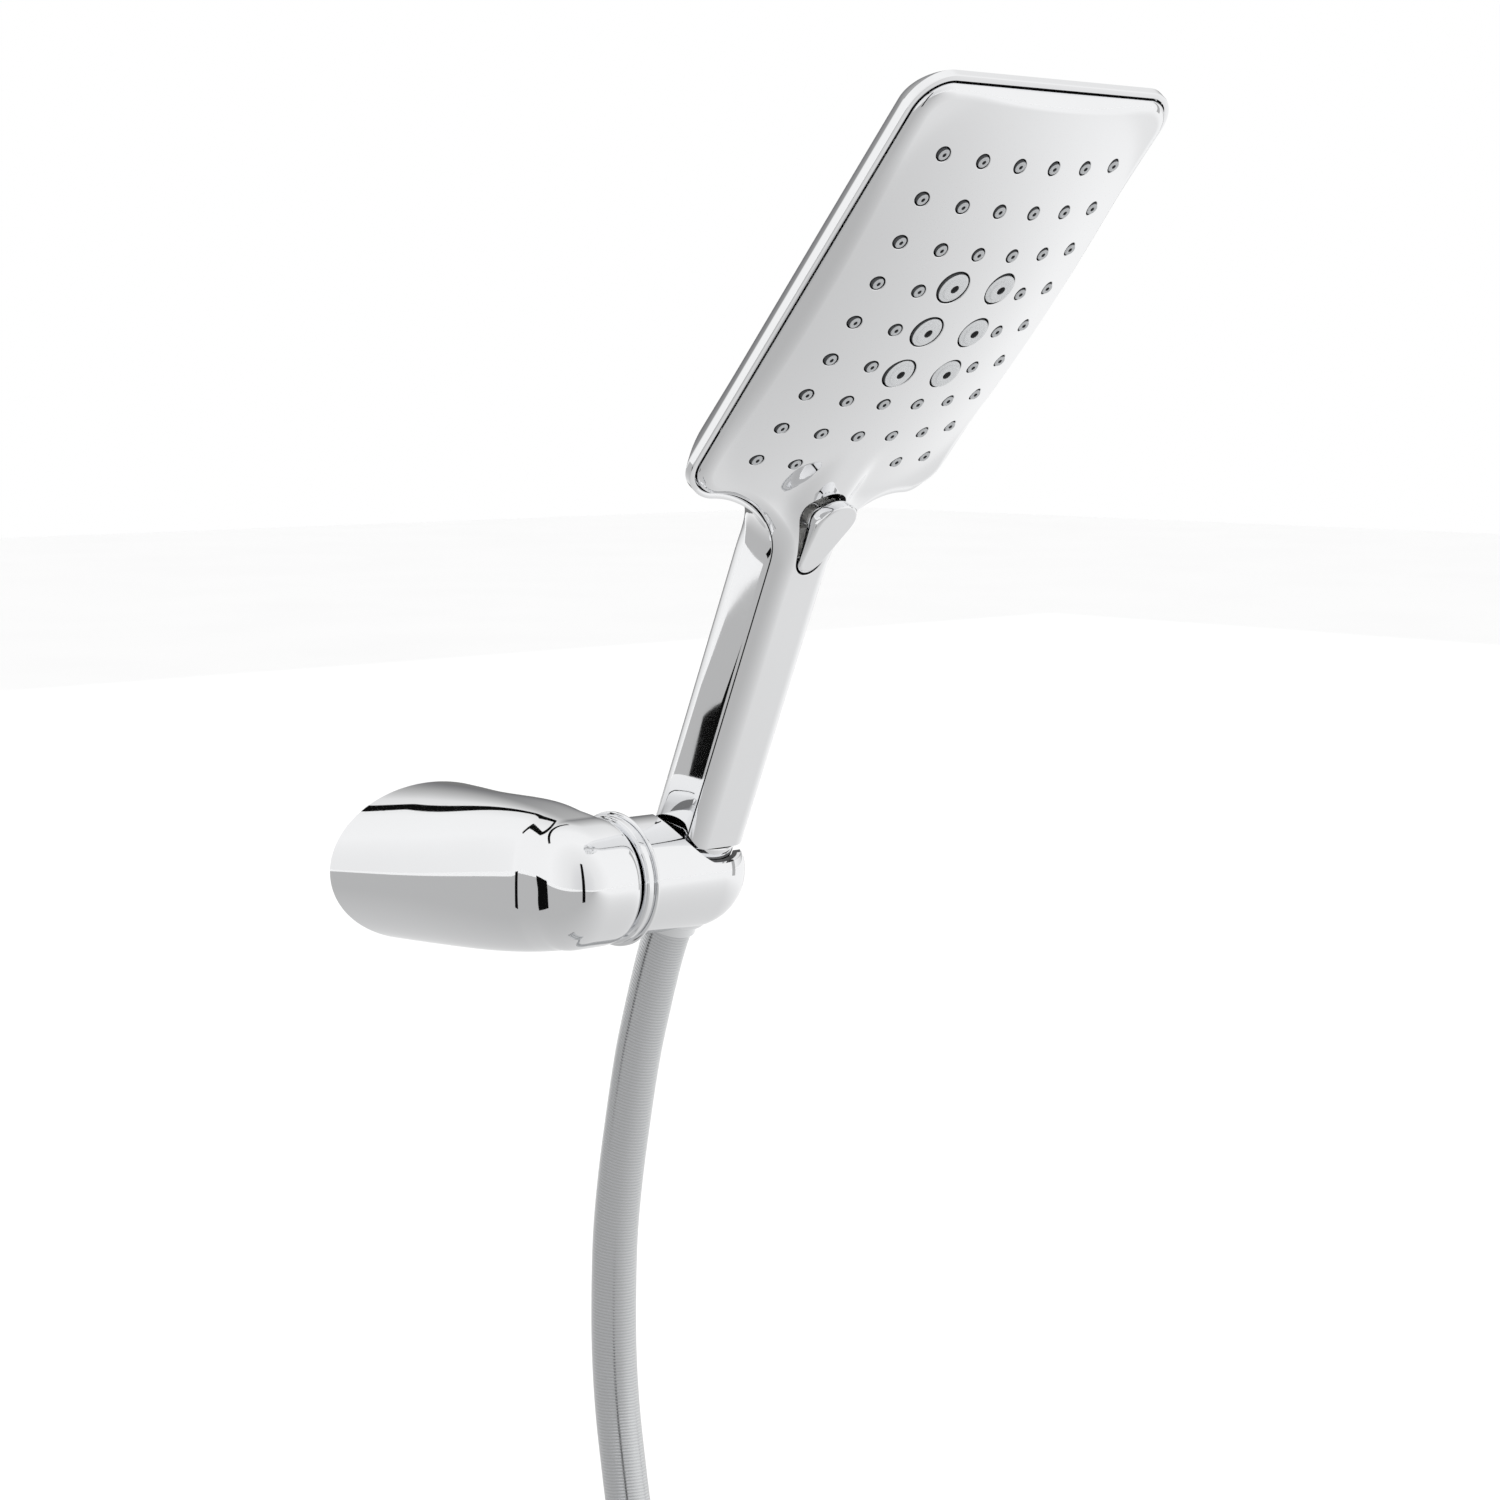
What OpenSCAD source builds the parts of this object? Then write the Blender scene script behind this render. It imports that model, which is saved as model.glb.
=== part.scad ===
// Hand shower with a swivelling wall holder and its metal-look hose.
// Millimetres, +Z up. The wall is the plane y = 0, the set stands out towards -Y,
// and the origin is the centre of the bracket's wall face.

/* [Wall bracket] */
// Distance from the wall to the swivel axis
reach = 66; // [60:1:80]
// Width of the bracket at the wall
plate_w = 75; // [66:1:92]
// Height of the bracket at the wall
plate_h = 48; // [44:1:60]
// Half the length of the boss that carries the swivel
boss_half = 13.5; // [13:0.5:17]
// Radius of the boss
boss_r = 19; // [18.5:0.5:23]
// Wall thickness of the bracket casting
bracket_wall = 3; // [2.4:0.1:3.6]
// Thickness of the plate that is screwed to the wall
wall_plate_t = 4; // [3:0.5:5]
// Distance between the two wall screws
screw_spacing = 36; // [30:1:43]
// Radius of a wall screw hole
screw_hole_r = 2.4; // [2:0.1:2.9]

/* [Holder] */
// Radius of the holder's barrel and of its domed end
holder_r = 17.5; // [17.2:0.1:21]
// Distance from the bracket's middle to the handset axis, along the swivel axis
handset_x = 45.5; // [42:0.5:55]
// Width of the trim ring between bracket and holder
ring_w = 3.2; // [2.6:0.1:4]
// Width of the flange that the trim ring carries
ring_flange_w = 1; // [0.8:0.1:1.3]
// Radius of the trim ring's flange
ring_r = 19.9; // [19.5:0.1:24]
// Radius of the swivel axle
axle_r = 5; // [4:0.1:6]
// Width of the slot that lets the hose into the holder
slot_w = 15.6; // [15.2:0.1:17]
// Thickness of the plastic liner in the holder
liner_t = 1.4; // [1.1:0.1:1.7]
// Radius of the flat seat cut in the top of the holder
seat_r = 14.5; // [14:0.1:17]
// Height of the flat seat above the swivel axis, along the handset axis
seat_up = 9.8; // [9:0.1:11]

/* [Handset] */
// Lean of the handle from the vertical, in degrees
lean = 23.3; // [15:0.1:30]
// Tilt of the spray face from the handle, in degrees
face_tilt = 18.2; // [15:0.1:20]
// Width of the handle
handle_w = 22.5; // [22:0.1:27]
// Depth of the handle
handle_d = 22; // [21.8:0.1:26.4]
// Corner radius of the handle
handle_corner = 6; // [5:0.1:7]
// Height of the handle's lower end above the swivel axis
handle_start = 13.6; // [13:0.1:16]
// Distance from the swivel axis to the middle of the nozzle field
head_up = 191.2; // [180:0.1:200]
// Width of the head
head_w = 99; // [95:0.1:118]
// Length of the head
head_l = 141.5; // [139:0.1:170]
// Corner radius of the head
head_corner = 10; // [8:0.1:12]
// Rise of the spray face above the seam between the shells
face_rise = 13; // [12.6:0.1:14]
// Depth of the rear shell behind the seam
rear_depth = 14.5; // [14.3:0.1:18]
// Wall thickness of the shells
shell_wall = 2.2; // [1.8:0.1:2.5]
// How far the rear shell stands out past the front shell
rim_step = 2; // [1.2:0.1:2.4]

/* [Spray] */
// Distance between small nozzles
nozzle_pitch = 13.14; // [12:0.01:13.4]
// Radius of a small nozzle
nozzle_r = 1.75; // [1.4:0.05:2]
// Distance between large jets across the face
jet_pitch_x = 18; // [16:0.1:19]
// Distance between large jets along the face
jet_pitch_y = 15; // [14.5:0.1:16]
// Radius of a large jet
jet_r = 4.8; // [4:0.1:5]
// Clearance round the nozzles and jets in the front shell
nozzle_gap = 0.35; // [0.3:0.05:0.5]

/* [Mode button] */
// Half width of the button at its upper end
button_top_r = 7; // [6:0.1:7.5]
// Half width of the button at its lower end
button_tip_r = 4.4; // [4:0.1:5]
// Gap round the button
button_gap = 0.7; // [0.6:0.05:0.9]
// Slope of the button's outer face against the handle, in degrees
button_slope = 19.2; // [15:0.1:21]

/* [Waterway] */
// Radius of the water tube in the handle
tube_r = 5.6; // [5.2:0.1:5.8]
// Wall thickness of the water tube
tube_wall = 1.2; // [1:0.1:1.5]
// Radius of the G1/2 thread at the handset's inlet
thread_r = 10.4; // [10:0.1:10.6]

/* [Hose] */
// Diameter of the hose
hose_d = 14; // [13:0.1:15]
// Radius of the cone nut at its upper end
cone_top_r = 11.6; // [11.4:0.1:12.4]
// Radius of the cone nut at its lower end
cone_end_r = 10; // [9.4:0.1:10.6]
// Length of the cone nut
cone_l = 29.4; // [27:0.1:32]
// Radius of a coil of the unseen length, at the middle of the hose
coil_r = 73; // [70:1:84]
// Turns in the coil
coil_turns = 3; // [2:1:4]
// Length of hose below the coil, to the union nut
tail_l = 17; // [12:1:40]
// Width of the union nut across its flats
nut_flats = 24; // [24:0.1:27]
// Radius of the union nut's thread
union_r = 9.5; // [9.3:0.05:9.6]

/* [Hidden] */

$fn = 64;
fine = 24;              // facets of small round features
cut = 1;                // how far a cutter runs past a face
fit_gap = 0.3;          // clearance between parts that move on each other
touch = 0.05;           // smallest clearance between parts that don't move

chrome = [0.82, 0.83, 0.85];
satin = [0.68, 0.70, 0.72];
brass = [0.80, 0.66, 0.36];
soft_grey = [0.58, 0.59, 0.60];
plastic = [0.90, 0.90, 0.88];
dark = [0.15, 0.15, 0.16];

// Places along the swivel axis
ring_x = boss_half + touch;
flange_x = ring_x + ring_w;
holder_x = flange_x + ring_flange_w + touch;
barrel_l = handset_x - holder_x;

axle_in_holder = 9;
pocket_r = 10.5;        // room for the lock nut and its washers
pocket_l = 12.5;
wall_plate_h = plate_h - 2 * bracket_wall - 8;
grub_r = 1.25;
scoop_r = ring_r + 0.6; // the hollow beside the boss, clear of the trim ring

// The holder's bore and seat, along the handset axis
seat_top = 30;
cone_top = handle_start - 0.2;
cone_end = cone_top - cone_l;
cone_slope = (cone_top_r - cone_end_r) / cone_l;

// The head: its frame has x across, y up along the face and z out of the face,
// and z = 0 is the plane of the seam between the shells.
rim_front = 23.85;
front_w = head_w - 2 * rim_step;
front_l = head_l - 2 * rim_step;
head_mid = 2.5;         // the head's middle above the nozzle field's middle
across_r = 180;         // crown of the face across
along_r = 450;          // crown of the face along
rear_rim = 2.5;         // straight edge of the rear shell
rear_flat_w = head_w - 24;
rear_flat_l = head_l - 30;

// The seam down the neck and the handle, as distance in front of the handset axis
seam_front = 7;
neck_low = 100;         // where the neck begins to widen
neck_high = head_up - 63.2;     // where the neck meets the head
neck_fillet = 24;       // radius of the fillet beside the neck
neck_sink = 1.2;        // how far the neck's lower end starts inside the handle
fillet_bite = 0.4;      // how far the fillets cut into the handle's sides
neck_h = 6;
seam_bend = 112;
handle_end = neck_high - 4;
front_neck = handle_d / 2 + 2.2;        // front of the neck where it meets the head

// Nozzles
rows = 9;
columns = 6;
nozzle_hole_r = nozzle_r + nozzle_gap;
jet_hole_r = jet_r + nozzle_gap;
outlet_r = 0.45;
jet_outlet_r = 1;
mat_base = 0.5;
mat_t = 2.5;
plate_t = 3;
gasket_t = 1.5;
chamber_h = 4;
mat_w = (columns - 1) * nozzle_pitch + 10;
mat_l = (rows - 1) * nozzle_pitch + 8;
duct_w = 12;
duct_y = -6.5;          // front of the duct, behind the handset axis
duct_d = 7;
duct_l = 30;
duct_wall = 1.2;
chamber_top = mat_base - plate_t - gasket_t;
sink = 0.5;             // how far a nozzle tip stays below the face

// Water tube
tube_y = 1.2;           // the tube runs behind the handle's middle
cup_r = tube_r + 1.4;   // sockets round the tube's ends

// Mode button and selector, heights along the handset axis
button_tip_z = 108.2;
button_top_z = 121.5;
button_base = 10.4;     // underside of the button in front of the axis
pin_z = 107;
pin_front = cup_r - tube_y + 2.2;
pin_r = 1;
pin_l = 14;
plunger_z = 120;
plunger_r = 2.5;
valve_r = 8.5;
valve_wall = 1.5;
duct_low = plunger_z + valve_r + touch;
valve_front = 4;
valve_depth = 11;
disc_t = 2.4;

// Water tube
seal_r = 0.45;
cup_l = 6;
tube_low = 30;
tube_high = plunger_z - valve_r - touch;
seal_places = [tube_low + 2, tube_low + 4.2];
thread_l = 8;           // thread of the inlet below the handle
inlet_low = handle_start - 0.2 - thread_l;
inlet_bore = tube_r - tube_wall + tube_y + 0.4;

// Hose
hose_r = hose_d / 2;
bend_room = hose_r + 1;
stem_r = 5;
ferrule_r = hose_r + 1;
ferrule_l = 16;
ferrule_end = cone_end - 3.4;
washer_t = 2;
flange_t = 1.5;
hose_top_z = inlet_low - washer_t - flange_t - touch;
tube_sides = 12;
// The hose leaves along the handset axis and bends at the first point of the drop.
top_route = [
    [handset_x, -reach, 0] + hose_top_z * [0, -sin(lean), cos(lean)],
    [handset_x, -reach, 0] - 16 * [0, -sin(lean), cos(lean)],
    [handset_x, -reach, 0] - 32 * [0, -sin(lean), cos(lean)],
    [handset_x, -reach, 0] + [0, 20.5, -53]
];
bend_point = top_route[3];
drop_route = [
    bend_point, bend_point + [0, 3.5, -13], bend_point + [0, 7, -29], bend_point + [0, 10.5, -47],
    bend_point + [0, 13, -65], bend_point + [0, 14, -84], bend_point + [0, 14, -103],
    bend_point + [0, 12.5, -122], bend_point + [0, 9.5, -141], bend_point + [0, 6, -160],
    bend_point + [0, 2.5, -179], bend_point + [0, 0.5, -198], bend_point + [0, 0, -217],
    bend_point + [0, 0, -241]
];
coil_start = drop_route[len(drop_route) - 1];
coil_mid = coil_start - [coil_r, 0, 0];
coil_depth = hose_d * (coil_turns + 1);
tail_start = coil_start - [0, coil_turns * hose_d, 0];
nut_r = nut_flats / 2 / cos(30);
// The tail runs this far past the coil before the union nut is clear of it
coil_clear = sqrt(pow(coil_r + hose_r, 2) - pow(coil_r - nut_r, 2));
tail_full = coil_clear + tail_l;
tie_t = 1.5;
tie_w = 12;
nut_h = 14;
nut_collar = 3;
nut_run = 0.3;          // play of the union nut on the nipple
nut_seat = nut_collar + 2 * nut_run + flange_t + washer_t;     // face of the union nut's washer
nut_relief = 0.4;       // the thread's run-out above the washer

// Everything on the handset stands in this frame: z up the handle, -y to its front.
module on_handset() {
    translate([handset_x, -reach, 0]) rotate([lean, 0, 0]) children();
}

// x across the face, y up along it, z out of it.
module on_face() {
    on_handset() translate([0, -rim_front, head_up]) rotate([face_tilt + 90, 0, 0]) children();
}

// x across, y up the handle, z to the front of the handle.
module on_front() {
    on_handset() rotate([90, 0, 0]) children();
}

// z along the swivel axis, from the bracket's middle towards the holder.
module on_swivel(x) {
    translate([x, -reach, 0]) rotate([0, 90, 0]) children();
}

module ring(r_out, r_in, h) {
    difference() {
        cylinder(r = r_out, h = h);
        translate([0, 0, -cut]) cylinder(r = r_in, h = h + 2 * cut);
    }
}

module rounded(w, l, r) {
    union() {
        square([w - 2 * r, l], center = true);
        square([w, l - 2 * r], center = true);
        for (x = [-1, 1], y = [-1, 1])
            translate([x * (w / 2 - r), y * (l / 2 - r)]) circle(r = r);
    }
}

module hexagon(flats, h) {
    cylinder(r = flats / 2 / cos(30), h = h, $fn = 6);
}

// ---------------------------------------------------------------- bracket

// The bracket's outside: an oval foot drawn in to the boss.
module bracket_form(inset, past) {
    hull() {
        translate([0, past, 0]) rotate([90, 0, 0])
            scale([(plate_w / 2 - inset) / (plate_h / 2 - inset), 1])
                cylinder(r = plate_h / 2 - inset, h = 1 + past, $fn = 48);
        on_swivel(-boss_half + inset)
            cylinder(r = boss_r - 0.5 - inset, h = 2 * (boss_half - inset), $fn = 48);
    }
}

module wall_plate() {
    color(satin) difference() {
        rotate([90, 0, 0]) linear_extrude(wall_plate_t)
            rounded(screw_spacing + 12, wall_plate_h, 8);
        for (side = [-1, 1])
            translate([side * screw_spacing / 2, cut, 0]) rotate([90, 0, 0])
                cylinder(r = screw_hole_r, h = wall_plate_t + 2 * cut);
    }
}

module grub_place() {
    translate([0, -wall_plate_t / 2, 0]) children();
}

module bracket_body() {
    pocket_x = -boss_half + bracket_wall;
    color(chrome) difference() {
        union() {
            difference() {
                bracket_form(0, 0);
                for (side = [-1, 1])
                    on_swivel(side * (boss_half + plate_w / 2) - plate_w / 2)
                        cylinder(r = scoop_r, h = plate_w);
            }
            on_swivel(-boss_half) cylinder(r = boss_r, h = 2 * boss_half);
        }
        intersection() {
            bracket_form(bracket_wall, cut);
            translate([-plate_w, scoop_r + bracket_wall - reach, -plate_h])
                cube([2 * plate_w, reach, 2 * plate_h]);
        }
        on_swivel(pocket_x) cylinder(r = pocket_r, h = pocket_l);
        on_swivel(pocket_x) cylinder(r = axle_r + fit_gap, h = 2 * boss_half);
        grub_place() translate([0, 0, -plate_h / 2 - cut]) cylinder(r = grub_r, h = 2 * bracket_wall);
    }
}

module grub_screw() {
    low = -plate_h / 2 + 0.6;
    color(satin) grub_place() translate([0, 0, low]) difference() {
        cylinder(r = grub_r - touch, h = -wall_plate_h / 2 - touch - low, $fn = fine);
        translate([0, 0, -cut]) hexagon(1.3, 2 + cut);
    }
}

// Places in the boss are measured from the blind end of its pocket.
module in_boss(depth) {
    on_swivel(-boss_half + bracket_wall + depth) children();
}

module swivel_axle() {
    from = -boss_half + bracket_wall + 0.6;
    color(satin) on_swivel(from) cylinder(r = axle_r, h = holder_x + axle_in_holder - from);
}

module lock_nut() {
    color(satin) in_boss(2.6) difference() {
        hexagon(17, 6);
        translate([0, 0, -cut]) cylinder(r = axle_r, h = 6 + 2 * cut);
    }
}

module wave_washer() {
    color(satin) in_boss(8.8) ring(9, axle_r + fit_gap, 1.5);
}

module friction_washer() {
    color(plastic) in_boss(10.6) ring(10, axle_r + fit_gap, pocket_l - 10.6);
}

module trim_ring() {
    color(chrome) on_swivel(ring_x) {
        difference() {
            union() {
                cylinder(r = boss_r, h = ring_w);
                translate([0, 0, ring_w]) cylinder(r = ring_r, h = ring_flange_w);
            }
            translate([0, 0, -cut]) cylinder(r = axle_r + fit_gap, h = ring_w + ring_flange_w + 2 * cut);
        }
    }
}

// ----------------------------------------------------------------- holder

// A cone along the handset axis, grown by a radius.
module holder_cone(grow) {
    over = 2 * cut;
    on_handset() translate([0, 0, -holder_r - over])
        cylinder(
            r1 = cone_top_r + grow - (cone_top + holder_r + over) * cone_slope,
            r2 = cone_top_r + grow - (cone_top - seat_up) * cone_slope,
            h = seat_up + holder_r + over
        );
}

module hose_slot(w) {
    on_handset() translate([0, -w / 2, -seat_top]) cube([2 * holder_r, w, 2 * seat_top]);
}

module holder_body() {
    color(chrome) difference() {
        union() {
            on_swivel(holder_x) cylinder(r = holder_r, h = barrel_l);
            translate([handset_x, -reach, 0]) sphere(r = holder_r);
        }
        holder_cone(fit_gap + liner_t);
        on_handset() translate([0, 0, seat_up]) cylinder(r = seat_r, h = seat_top);
        hose_slot(slot_w + 2 * liner_t);
        on_swivel(holder_x - cut) cylinder(r = axle_r, h = axle_in_holder + cut);
    }
}

// The liner follows the bore and the sides of the slot.
module holder_liner() {
    color(dark) difference() {
        intersection() {
            union() {
                holder_cone(fit_gap + liner_t);
                hose_slot(slot_w + 2 * liner_t);
            }
            translate([handset_x, -reach, 0]) sphere(r = holder_r - 0.4);
            on_handset() translate([0, 0, -holder_r]) cylinder(r = 2 * holder_r, h = holder_r + seat_up);
        }
        holder_cone(fit_gap);
        hose_slot(slot_w);
    }
}

// ------------------------------------------------------------ handset shells

// Height of the face's outer surface over the seam plane.
function face_z(x, y) =
    sqrt(pow(along_r - across_r + sqrt(across_r * across_r - x * x), 2) - y * y)
    - along_r + face_rise;

// The crowned body that bounds the face, shrunk by a wall.
module crown(inset) {
    translate([0, 0, face_rise - along_r]) rotate([0, 90, 0])
        rotate_extrude($fn = 128) translate([along_r - across_r, 0])
            circle(r = across_r - inset, $fn = 128);
}

module head_front_form(inset) {
    on_face() intersection() {
        translate([0, head_mid, -cut]) linear_extrude(face_rise + 2 * cut)
            rounded(front_w - 2 * inset, front_l - 2 * inset, head_corner - inset);
        crown(inset);
    }
}

// Four posts at the corners of a rectangle, to be joined by a hull.
module corner_posts(w, l, r, h) {
    for (x = [-1, 1], y = [-1, 1])
        translate([x * (w / 2 - r), y * (l / 2 - r), 0]) cylinder(r = r, h = h, $fn = 32);
}

module head_rear_form(inset) {
    on_face() translate([0, head_mid, 0]) hull() {
        translate([0, 0, -rear_rim])
            corner_posts(head_w - 2 * inset, head_l - 2 * inset, head_corner - inset, rear_rim + cut);
        translate([0, 0, -rear_depth + inset])
            corner_posts(rear_flat_w - 2 * inset, rear_flat_l - 2 * inset, head_corner, cut);
    }
}

module handle_section(inset) {
    rounded(handle_w - 2 * inset, handle_d - 2 * inset, handle_corner - inset, $fn = 32);
}

module handle_form(inset, low) {
    on_handset() translate([0, 0, low]) linear_extrude(handle_end - low) handle_section(inset);
}

// The neck widens from the handle to the head with a round fillet on each side,
// and its back runs up to the back of the head.
module neck_form(inset) {
    half = handle_w / 2 - inset;
    deep = handle_d / 2 - inset;
    wide = half + neck_fillet - 6;
    fillet_r = neck_fillet + inset;
    difference() {
        hull() {
            on_handset() translate([0, 0, neck_low])
                corner_posts(2 * (half - neck_sink), 2 * (deep - neck_sink),
                    handle_corner - inset - 1, cut);
            on_handset() translate([1 - half, -front_neck + inset, neck_high - 1])
                cube([2 * half - 2, front_neck + handle_d / 2 - 2 * inset - 0.5, neck_h]);
            on_handset() translate([-wide, -8 + inset, neck_high - 1])
                cube([2 * wide, 8 - 2 * inset, neck_h]);
            on_face() translate([2 - half, head_mid - rear_flat_l / 2, -rear_depth + inset])
                cube([2 * half - 4, 1, rear_depth]);
        }
        for (side = [-1, 1])
            on_front() translate([side * (handle_w / 2 + neck_fillet - fillet_bite),
                neck_high - neck_fillet, -30]) {
                cylinder(r = fillet_r, h = 60);
                translate([-fillet_r, -neck_fillet, 0]) cube([2 * fillet_r, neck_fillet, 60]);
            }
    }
}

module handset_form(inset, low) {
    handle_form(inset, low);
    neck_form(inset);
}

// Everything in front of the seam: down the head, the neck and the handle.
module front_side() {
    far = 120;
    on_handset() rotate([90, 0, 90]) translate([0, 0, -far]) linear_extrude(2 * far)
        polygon([
            [-seam_front, 0], [-seam_front, seam_bend],
            [-rim_front + (head_up - neck_high) * tan(face_tilt), neck_high],
            [-rim_front - far * sin(face_tilt), head_up + far * cos(face_tilt)],
            [-far - rim_front, head_up + far], [-far, 0]
        ]);
}

module button_outline(grow) {
    hull() {
        translate([0, button_tip_z]) circle(r = button_tip_r + grow, $fn = 48);
        translate([0, button_top_z]) circle(r = button_top_r + grow, $fn = 48);
    }
}

module nozzle_places() {
    for (row = [0:rows - 1], col = [0:columns - 1]) {
        middle = col == 2 || col == 3;
        taken = middle && row >= 3 && row <= 5;
        below = middle && row == rows - 1;
        x = (col - (columns - 1) / 2) * nozzle_pitch;
        y = ((rows - 1) / 2 - row) * nozzle_pitch;
        if (!taken && !below) translate([x, y, 0]) {
            $tip = face_z(x, y) - sink;
            children();
        }
    }
}

module jet_places() {
    for (side = [-1, 1], row = [-1:1]) {
        x = side * jet_pitch_x / 2;
        y = row * jet_pitch_y + 0.5;
        translate([x, y, 0]) {
            $tip = face_z(x, y) - sink - 0.4;
            children();
        }
    }
}

// Two lugs behind the front shell carry the button's pin.
module pin_lugs() {
    for (side = [-1, 1])
        on_front() translate([side * 5.3 - 1.2, pin_z - 2, pin_front - 1.8])
            cube([2.4, 4, button_base - 0.4 + 1.8 - pin_front]);
}

module front_shell() {
    color(chrome) difference() {
        union() {
            difference() {
                front_skin();
                on_front() linear_extrude(30) button_outline(button_gap);
            }
            pin_lugs();
        }
        on_face() nozzle_places() cylinder(r = nozzle_hole_r, h = 2 * face_rise, $fn = fine);
        on_face() jet_places() cylinder(r = jet_hole_r, h = 2 * face_rise, $fn = fine);
        on_pin() cylinder(r = pin_r, h = pin_l, center = true, $fn = fine);
    }
}

module on_pin() {
    on_handset() translate([0, -pin_front, pin_z]) rotate([0, 90, 0]) children();
}

module front_skin() {
    intersection() {
        difference() {
            union() {
                head_front_form(0);
                handset_form(0, handle_start);
            }
            head_front_form(shell_wall);
            handset_form(shell_wall, 0);
        }
        front_side();
    }
}

module rear_shell() {
    color(chrome) difference() {
        union() {
            head_rear_form(0);
            handset_form(0, handle_start);
        }
        head_rear_form(shell_wall);
        handset_form(shell_wall, 0);
        front_side();
    }
}

// ------------------------------------------------------------ spray pieces

module mat_outline(grow) {
    rounded(mat_w + 2 * grow, mat_l + 2 * grow, 7);
}

module nozzle_mat() {
    color(soft_grey) on_face() difference() {
        union() {
            translate([0, 0, mat_base]) linear_extrude(mat_t) mat_outline(0);
            nozzle_places() translate([0, 0, mat_base])
                cylinder(r = nozzle_r, h = $tip - mat_base, $fn = fine);
        }
        nozzle_places() cylinder(r = outlet_r, h = 2 * face_rise, $fn = fine);
        jet_places() cylinder(r = jet_r + touch, h = 2 * face_rise, $fn = fine);
    }
}

module jet_inserts() {
    color(soft_grey) on_face() jet_places() difference() {
        translate([0, 0, mat_base]) cylinder(r = jet_r, h = $tip - mat_base, $fn = 48);
        cylinder(r = jet_outlet_r, h = 2 * face_rise, $fn = fine);
    }
}

module spray_plate() {
    color(plastic) on_face() difference() {
        translate([0, 0, mat_base - plate_t]) linear_extrude(plate_t) mat_outline(1.5);
        translate([0, 0, -plate_t]) {
            nozzle_places() cylinder(r = 1.2, h = 2 * plate_t, $fn = fine);
            jet_places() cylinder(r = 1.6, h = 2 * plate_t, $fn = fine);
            chamber_screw_places() cylinder(r = 1.2, h = 2 * plate_t, $fn = fine);
        }
    }
}

module chamber_screw_places() {
    for (x = [-2, 2], y = [-3.5, 3.5])
        translate([x * nozzle_pitch, y * nozzle_pitch, 0]) children();
}

module chamber_gasket() {
    color(dark) on_face() translate([0, 0, chamber_top]) difference() {
        linear_extrude(gasket_t) difference() {
            mat_outline(-0.5);
            mat_outline(-2.2);
        }
        chamber_screw_places() translate([0, 0, -cut])
            cylinder(r = 2.6, h = gasket_t + 2 * cut, $fn = fine);
    }
}

// A shallow pan that feeds the whole spray plate, with a duct down to the selector.
module water_chamber() {
    color(plastic) difference() {
        union() {
            on_face() translate([0, 0, chamber_top - chamber_h]) linear_extrude(chamber_h) mat_outline(0);
            on_handset() translate([-duct_w / 2, duct_y, duct_low]) cube([duct_w, duct_d, duct_l]);
        }
        on_face() difference() {
            translate([0, 0, chamber_top - chamber_h + 1.5]) linear_extrude(40) mat_outline(-2.8);
            chamber_screw_places() translate([0, 0, -20]) cylinder(r = 3, h = chamber_top + 20);
        }
        on_face() translate([0, 0, chamber_top]) linear_extrude(40) mat_outline(5);
        on_handset() translate([-duct_w / 2 + duct_wall, duct_y + duct_wall, duct_low - cut])
            cube([duct_w - 2 * duct_wall, duct_d - 2 * duct_wall, duct_l - 2]);
        on_face() translate([0, 0, chamber_top - 2 * chamber_h])
            chamber_screw_places() cylinder(r = 1.5, h = 3 * chamber_h, $fn = fine);
    }
}

module chamber_screws() {
    color(satin) on_face() chamber_screw_places() translate([0, 0, chamber_top - chamber_h]) {
        cylinder(r = 1.15, h = chamber_h + gasket_t + plate_t - 0.6, $fn = fine);
        translate([0, 0, -1.8]) cylinder(r = 2.4, h = 1.8, $fn = fine);
    }
}

// --------------------------------------------------------- mode selector

module on_plunger(front) {
    on_front() translate([0, plunger_z, front]) children();
}

module valve_body() {
    color(plastic) difference() {
        union() {
            on_plunger(valve_front - valve_depth) cylinder(r = valve_r, h = valve_depth, $fn = 48);
            on_tube(tube_high - cup_l) cylinder(r = cup_r, h = cup_l + 4);
        }
        on_plunger(valve_front - valve_depth + valve_wall)
            cylinder(r = valve_r - valve_wall, h = valve_depth - 2 * valve_wall, $fn = 48);
        on_plunger(0) cylinder(r = plunger_r + 0.2, h = 20, $fn = fine);
        on_tube(tube_high - cup_l - cut) cylinder(r = tube_r + touch, h = cup_l + cut + touch);
        on_tube(tube_high) cylinder(r = 3, h = 6, $fn = fine);
        on_handset() translate([-3, duct_y + duct_wall + 2, plunger_z + 5]) cube([6, 3, 6]);
    }
}

module selector_disc() {
    color(brass) difference() {
        on_plunger(valve_front - valve_depth + valve_wall + fit_gap)
            cylinder(r = valve_r - valve_wall - fit_gap, h = disc_t, $fn = 48);
        for (port = [0:2])
            on_plunger(-20) rotate([0, 0, 120 * port]) translate([4, 0, 0])
                cylinder(r = 1.3, h = 40, $fn = fine);
    }
}

// The plunger runs from the underside of the button into the selector.
module plunger() {
    color(plastic) union() {
        on_plunger(-1) cylinder(r = plunger_r, h = button_base - fit_gap + 1, $fn = fine);
        on_plunger(button_base - fit_gap - 1.2) cylinder(r = 3.6, h = 1.2, $fn = fine);
    }
}

module plunger_seal() {
    color(dark) on_plunger(valve_front - valve_wall - 0.65) rotate_extrude($fn = 48)
        translate([plunger_r + 0.95, 0]) circle(r = 0.65, $fn = fine);
}

// Three visible windings, clear of the plunger's head at full stroke.
module plunger_spring() {
    color(satin) for (turn = [0:1])
        on_plunger(valve_front + 0.6 + 1.3 * turn) rotate_extrude($fn = 48)
            translate([plunger_r + 0.7, 0]) circle(r = 0.4, $fn = fine);
}

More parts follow.
